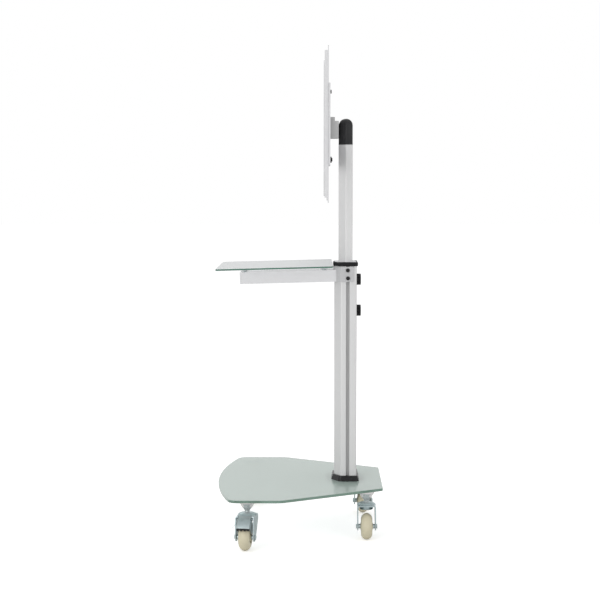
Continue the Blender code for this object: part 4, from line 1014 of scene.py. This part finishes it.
class CART_OT_caster_mounts(Operator):
    """Add the plated cones under the glass that hold the casters"""

    bl_idname = "cart.caster_mounts"
    bl_label = "Caster Mounts"

    def execute(self, context):
        low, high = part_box("caster_mount_front_right")
        radius = (high.x - low.x) / 2
        pin = 0.0050
        top = high.z
        head_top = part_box("caster_fork_front_right")[1].z
        cone = turned(
            "caster_cone",
            (
                (radius * 0.96, top), (radius, top - 0.0006), (radius, top - 0.0060),
                (radius * 0.975, top - 0.0072), (radius * 0.90, top - 0.0084), (radius * 0.84, top - 0.0100),
                (radius * 0.76, top - 0.0135), (radius * 0.66, top - 0.0175), (radius * 0.50, top - 0.0215),
                (radius * 0.37, top - 0.0250), (radius * 0.30, top - 0.0285),
                (radius * 0.29, head_top + 0.0006), (radius * 0.27, head_top + 0.0003),
                (pin, head_top + 0.0003), (pin, low.z + 0.0028), (0.0078, low.z + 0.0028),
                (0.0074, low.z + 0.0012), (pin, low.z),
            ),
        )
        shade(cone, cone_plate())
        at_casters(cone, "cone", caster_matrix, "stand", "zinc_plate", "caster_mount")
        return {"FINISHED"}


class CART_OT_forks(Operator):
    """Add the bent forks with their ball races"""

    bl_idname = "cart.forks"
    bl_label = "Caster Forks"

    def execute(self, context):
        bend = sizes().fork_round
        for corner in CORNERS:
            body = f"{corner}_caster"
            refined(f"caster_fork_{corner}", f"yoke_{corner}", body, "zinc_plate", zinc(), bend)
        self.races()
        return {"FINISHED"}

    def races(self):
        """The domed head with the ball race below it."""
        head_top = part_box("caster_fork_front_right")[1].z
        crown = 0.0970
        bore = 0.0056
        head = turned(
            "race",
            (
                (bore, head_top - 0.0012), (0.0062, head_top - 0.0002), (0.0090, head_top + 0.0002),
                (0.0150, head_top - 0.0003), (0.0200, head_top - 0.0014), (0.0238, head_top - 0.0034),
                (0.0258, head_top - 0.0058), (0.0268, head_top - 0.0072), (0.0268, crown - 0.0012),
                (0.0255, crown - 0.0019), (0.0215, crown - 0.0019), (0.0205, crown - 0.0008),
                (bore, crown - 0.0008),
            ),
            closed=True,
        )
        shade(head, zinc())
        at_casters(head, "race", caster_matrix, "{}_caster", "zinc_plate")


class CART_OT_wheels(Operator):
    """Add the nylon wheels, crowned and with a hub"""

    bl_idname = "cart.wheels"
    bl_label = "Wheels"

    def execute(self, context):
        radius = half_size("caster_wheel_rear_right").z
        hub = half_size("caster_wheel_rear_right").y
        tread = 0.0160
        crown = 0.0160
        shoulder = radius - crown
        bore = 0.0044
        half = [
            (bore, hub - 0.0004), (bore + 0.0006, hub), (0.0095, hub), (0.0105, hub - 0.0008),
            (0.0116, 0.0090), (0.0126, 0.0080), (0.0142, 0.0078), (0.0154, 0.0084),
            (shoulder - 0.0046, tread - 0.0020), (shoulder - 0.0036, tread - 0.0004),
            (shoulder - 0.0020, tread),
        ]
        arc_steps = 12
        for step in range(1, arc_steps):
            turn = math.radians(88) * step / (arc_steps - 1)
            half.append((shoulder + crown * math.sin(turn), tread * math.cos(turn)))
        wheel = turned("wheel", mirrored(half), steps=sizes().tyre_steps, closed=True)
        shade(wheel, nylon(), math.radians(40))
        at_casters(wheel, "tyre", axle_matrix, "{}_wheel", "nylon", "caster_wheel")
        return {"FINISHED"}


class CART_OT_axles(Operator):
    """Add the axle bolts, with washers, spacers and lock nuts"""

    bl_idname = "cart.axles"
    bl_label = "Axles"

    def execute(self, context):
        end = half_size("caster_axle_rear_right").y
        leg = half_size("caster_fork_rear_right").y
        hub = half_size("caster_wheel_rear_right").y
        bolt, gap = 0.0039, 0.0003
        inside = leg - 0.0031
        across = Matrix.Rotation(math.pi, 4, "X")
        shaft = turned(
            "shaft",
            (
                (bolt * 0.8, -end + 0.0001), (bolt, -end + 0.0005), (bolt, end - 0.0005),
                (bolt * 0.8, end - 0.0001),
            ),
            steps=32,
        )
        head = prism("head", 6, 0.0066, leg + 0.0013, end, 0.0005)
        washer = turned(
            "washer",
            ((bolt, leg + gap), (0.0070, leg + gap), (0.0070, leg + 0.0012), (bolt, leg + 0.0012)),
            steps=32, closed=True,
        )
        spacer = turned(
            "spacer",
            (
                (bolt, hub + gap), (0.0062, hub + gap), (0.0066, hub + 0.0008),
                (0.0066, inside - 0.0005), (0.0062, inside), (bolt, inside),
            ),
            steps=32, closed=True,
        )
        near = [head, washer, spacer]
        far = [twin(piece, f"{piece.name}_far", across) for piece in near]
        axle = joined([shaft, *near, *far], "axle")
        shade(axle, zinc())
        at_casters(axle, "axle", axle_matrix, "{}_caster", "zinc_plate", "caster_axle")
        return {"FINISHED"}


class CART_OT_brakes(Operator):
    """Add the brake pedals of the front casters, with their toothed bars, cheeks and stop tabs"""

    bl_idname = "cart.brakes"
    bl_label = "Brakes"

    def execute(self, context):
        for side in SIDES:
            corner = f"front_{side}"
            body = f"{corner}_brake"
            # The hood wears the darker copy of the zinc, painted shade.
            refined(f"brake_pedal_{corner}", f"hood_{corner}", body, "zinc_plate", hood_zinc())
            refined(f"brake_bar_{corner}", f"toothed_bar_{corner}", body, "rubber", rubber(), width=0.0004)
            self.stop_tab(corner)
            for out in (-1.0, 1.0):
                self.cheek(corner, out)
        return {"FINISHED"}

    def cheek(self, corner, out):
        """The plate that joins the hood to its pin, with a tail that reaches back beside the tyre."""
        sheet = 0.0010
        near = 0.0182
        behind, above = 0.0102, 0.0077
        front_radii, front_angles = (0.0290, 0.0486), (29.0, 79.0)
        tail_radii, tail_angles = (0.0130, 0.0400), (48.0, 150.0)
        side = "near" if out < 0 else "far"
        front = self.sector("cheek_front", front_radii, front_angles, near, sheet)
        tail = self.sector("cheek_tail", tail_radii, tail_angles, near + sheet * 0.1, sheet * 0.8)
        put(tail, Matrix.Translation((behind, -above, 0.0)))
        plate = joined([front, tail], f"cheek_{side}_{corner}")
        shade(plate, zinc())
        upright = Matrix.Rotation(math.pi / 2, 4, "X")
        aside = Matrix.Translation((0.0, 0.0, -(2 * near + sheet) if out > 0 else 0.0))
        axle = caster_matrix(corner).inverted() @ Vector(joint(f"{corner}_roll")["pos_m"])
        centre = axle + Vector((-behind, 0.0, above))
        put(plate, caster_matrix(corner) @ Matrix.Translation(centre) @ upright @ aside)
        ride(plate, f"{corner}_brake", "zinc_plate")

    def sector(self, name, radii, angles, low, sheet):
        """A flat plate between two radii and two angles."""
        inside, outside = radii
        made = turned(
            name, ((inside, low), (outside, low), (outside, low + sheet), (inside, low + sheet)), closed=True,
        )
        for angle, sign in zip(angles, (-1.0, 1.0)):
            turn = math.radians(angle)
            edit(made)
            bpy.ops.mesh.bisect(
                plane_co=(0.0, 0.0, 0.0), plane_no=(-sign * math.sin(turn), sign * math.cos(turn), 0.0),
                clear_outer=True, use_fill=True,
            )
            leave_edit()
        rounded(made, width=0.0002)
        return made

    def stop_tab(self, corner):
        """A small bent strip on the outside of one of the fork's legs."""
        leg = half_size("caster_fork_rear_right").y
        sheet, width, height = 0.0012, 0.008, 0.010
        at = Vector((0.030, -leg - sheet / 2 - 0.0002, 0.0800))
        bends, outward, down = 4, 0.0009, 0.0030
        tab = primitive(f"stop_tab_{corner}", bpy.ops.mesh.primitive_cube_add, size=1.0)
        put(tab, Matrix.Translation(at) @ Matrix.Diagonal((width, sheet, height, 1.0)))
        edit(tab)
        choose(tab, "FACE", lambda face: face.normal.z < -0.9)
        for step in range(bends):
            bpy.ops.mesh.extrude_region_move(
                TRANSFORM_OT_translate={"value": (0.0, -outward * (step + 1), -down)},
            )
        leave_edit()
        rounded(tab, sizes().fine_round)
        shade(tab, zinc())
        put(tab, caster_matrix(corner))
        ride(tab, f"{corner}_caster", "zinc_plate")


class CART_OT_stage(Operator):
    """Add the pale floor, the soft lamps, the world and the camera"""

    bl_idname = "cart.stage"
    bl_label = "Stage"

    def execute(self, context):
        self.floor()
        self.world()
        self.lamp("key_lamp", at=(4.2, -3.0, 2.2), size=3.6, power=74.0)
        self.lamp("fill_lamp", at=(4.4, 2.4, 1.1), size=3.6, power=18.0)
        self.lamp("far_lamp", at=(-3.4, -1.2, 2.8), size=3.0, power=24.0)
        self.camera()
        context.scene.view_settings.view_transform = "Standard"
        return {"FINISHED"}

    def floor(self):
        """A pale floor, lifted towards white where the camera sees it."""
        glow = 0.41
        floor = primitive("floor", bpy.ops.mesh.primitive_plane_add, size=sizes().floor_size)
        made, tree, shader = new_material("pale_floor")
        path = tree.nodes.new("ShaderNodeLightPath").outputs
        feed(shader, {
            "Base Color": (0.94, 0.94, 0.94, 1.0), "Roughness": 0.9, "Specular IOR Level": 0.0,
            "Emission Color": (1.0, 1.0, 1.0, 1.0),
            "Emission Strength": maths(tree, "MULTIPLY", path["Is Camera Ray"], glow),
        })
        floor.data.materials.append(made)

    def world(self):
        """White all round: at its full level where it is seen, and less where it lights a surface."""
        lighting, seen = 0.72, 1.0
        world = bpy.data.worlds.new("studio")
        bpy.context.scene.world = world
        world.use_nodes = True
        tree = world.node_tree
        path = tree.nodes.new("ShaderNodeLightPath").outputs
        direct = maths(tree, "MAXIMUM", path["Is Camera Ray"], path["Is Glossy Ray"])
        clear = maths(tree, "MAXIMUM", direct, path["Is Transmission Ray"])
        level = ranged(tree, clear, to_min=lighting, to_max=seen)
        feed(tree.nodes["Background"], {"Color": (1.0, 1.0, 1.0, 1.0), "Strength": level})

    def lamp(self, name, at, size, power):
        light = bpy.data.lights.new(name, "AREA")
        light.shape = "SQUARE"
        light.size = size
        light.energy = power
        lamp = bpy.data.objects.new(name, light)
        bpy.context.scene.collection.objects.link(lamp)
        target = Vector((0.0, 0.05, 0.6))
        lamp.location = at
        lamp.rotation_euler = (target - Vector(at)).to_track_quat("-Z", "Y").to_euler()

    def camera(self):
        """The photograph's view: at the cart's right side, looking a little down."""
        focal_pixels = 1624.3
        frame_pixels = 600.0
        pitch = math.radians(4.333)
        yaw = math.radians(0.479)
        lens = bpy.data.cameras.new("camera")
        lens.sensor_width = 36.0
        lens.lens = focal_pixels * lens.sensor_width / frame_pixels
        camera = bpy.data.objects.new("camera", lens)
        bpy.context.scene.collection.objects.link(camera)
        camera.location = (4.75, 0.0400, 1.0286)
        level = math.cos(pitch)
        look = Vector((-level * math.cos(yaw), -level * math.sin(yaw), -math.sin(pitch)))
        camera.rotation_euler = look.to_track_quat("-Z", "Y").to_euler()
        bpy.context.scene.camera = camera


OPERATORS = (
    CART_OT_base_glass, CART_OT_foot, CART_OT_column, CART_OT_knobs, CART_OT_mast, CART_OT_wall_plate,
    CART_OT_screen_arms, CART_OT_shelf, CART_OT_caster_mounts, CART_OT_forks, CART_OT_wheels, CART_OT_axles,
    CART_OT_brakes, CART_OT_stage,
)


class CART_PT_panel(Panel):
    """The cart's pieces, in the order they are made"""

    bl_idname = "CART_PT_panel"
    bl_label = "TV Cart"
    bl_space_type = "VIEW_3D"
    bl_region_type = "UI"
    bl_category = "TV Cart"

    def draw(self, context):
        column = self.layout.column(align=True)
        for operator in OPERATORS:
            column.operator(operator.bl_idname)


CLASSES = (CartSizes, CartColours) + OPERATORS + (CART_PT_panel,)


def register():
    for entry in CLASSES:
        bpy.utils.register_class(entry)
    bpy.types.Scene.cart_sizes = PointerProperty(type=CartSizes)
    bpy.types.Scene.cart_colours = PointerProperty(type=CartColours)


def unregister():
    del bpy.types.Scene.cart_colours
    del bpy.types.Scene.cart_sizes
    for entry in reversed(CLASSES):
        bpy.utils.unregister_class(entry)


def main():
    register()
    for operator in OPERATORS:
        group, action = operator.bl_idname.split(".")
        getattr(getattr(bpy.ops, group), action)()
    bpy.context.view_layer.update()


if __name__ == "__main__":
    main()
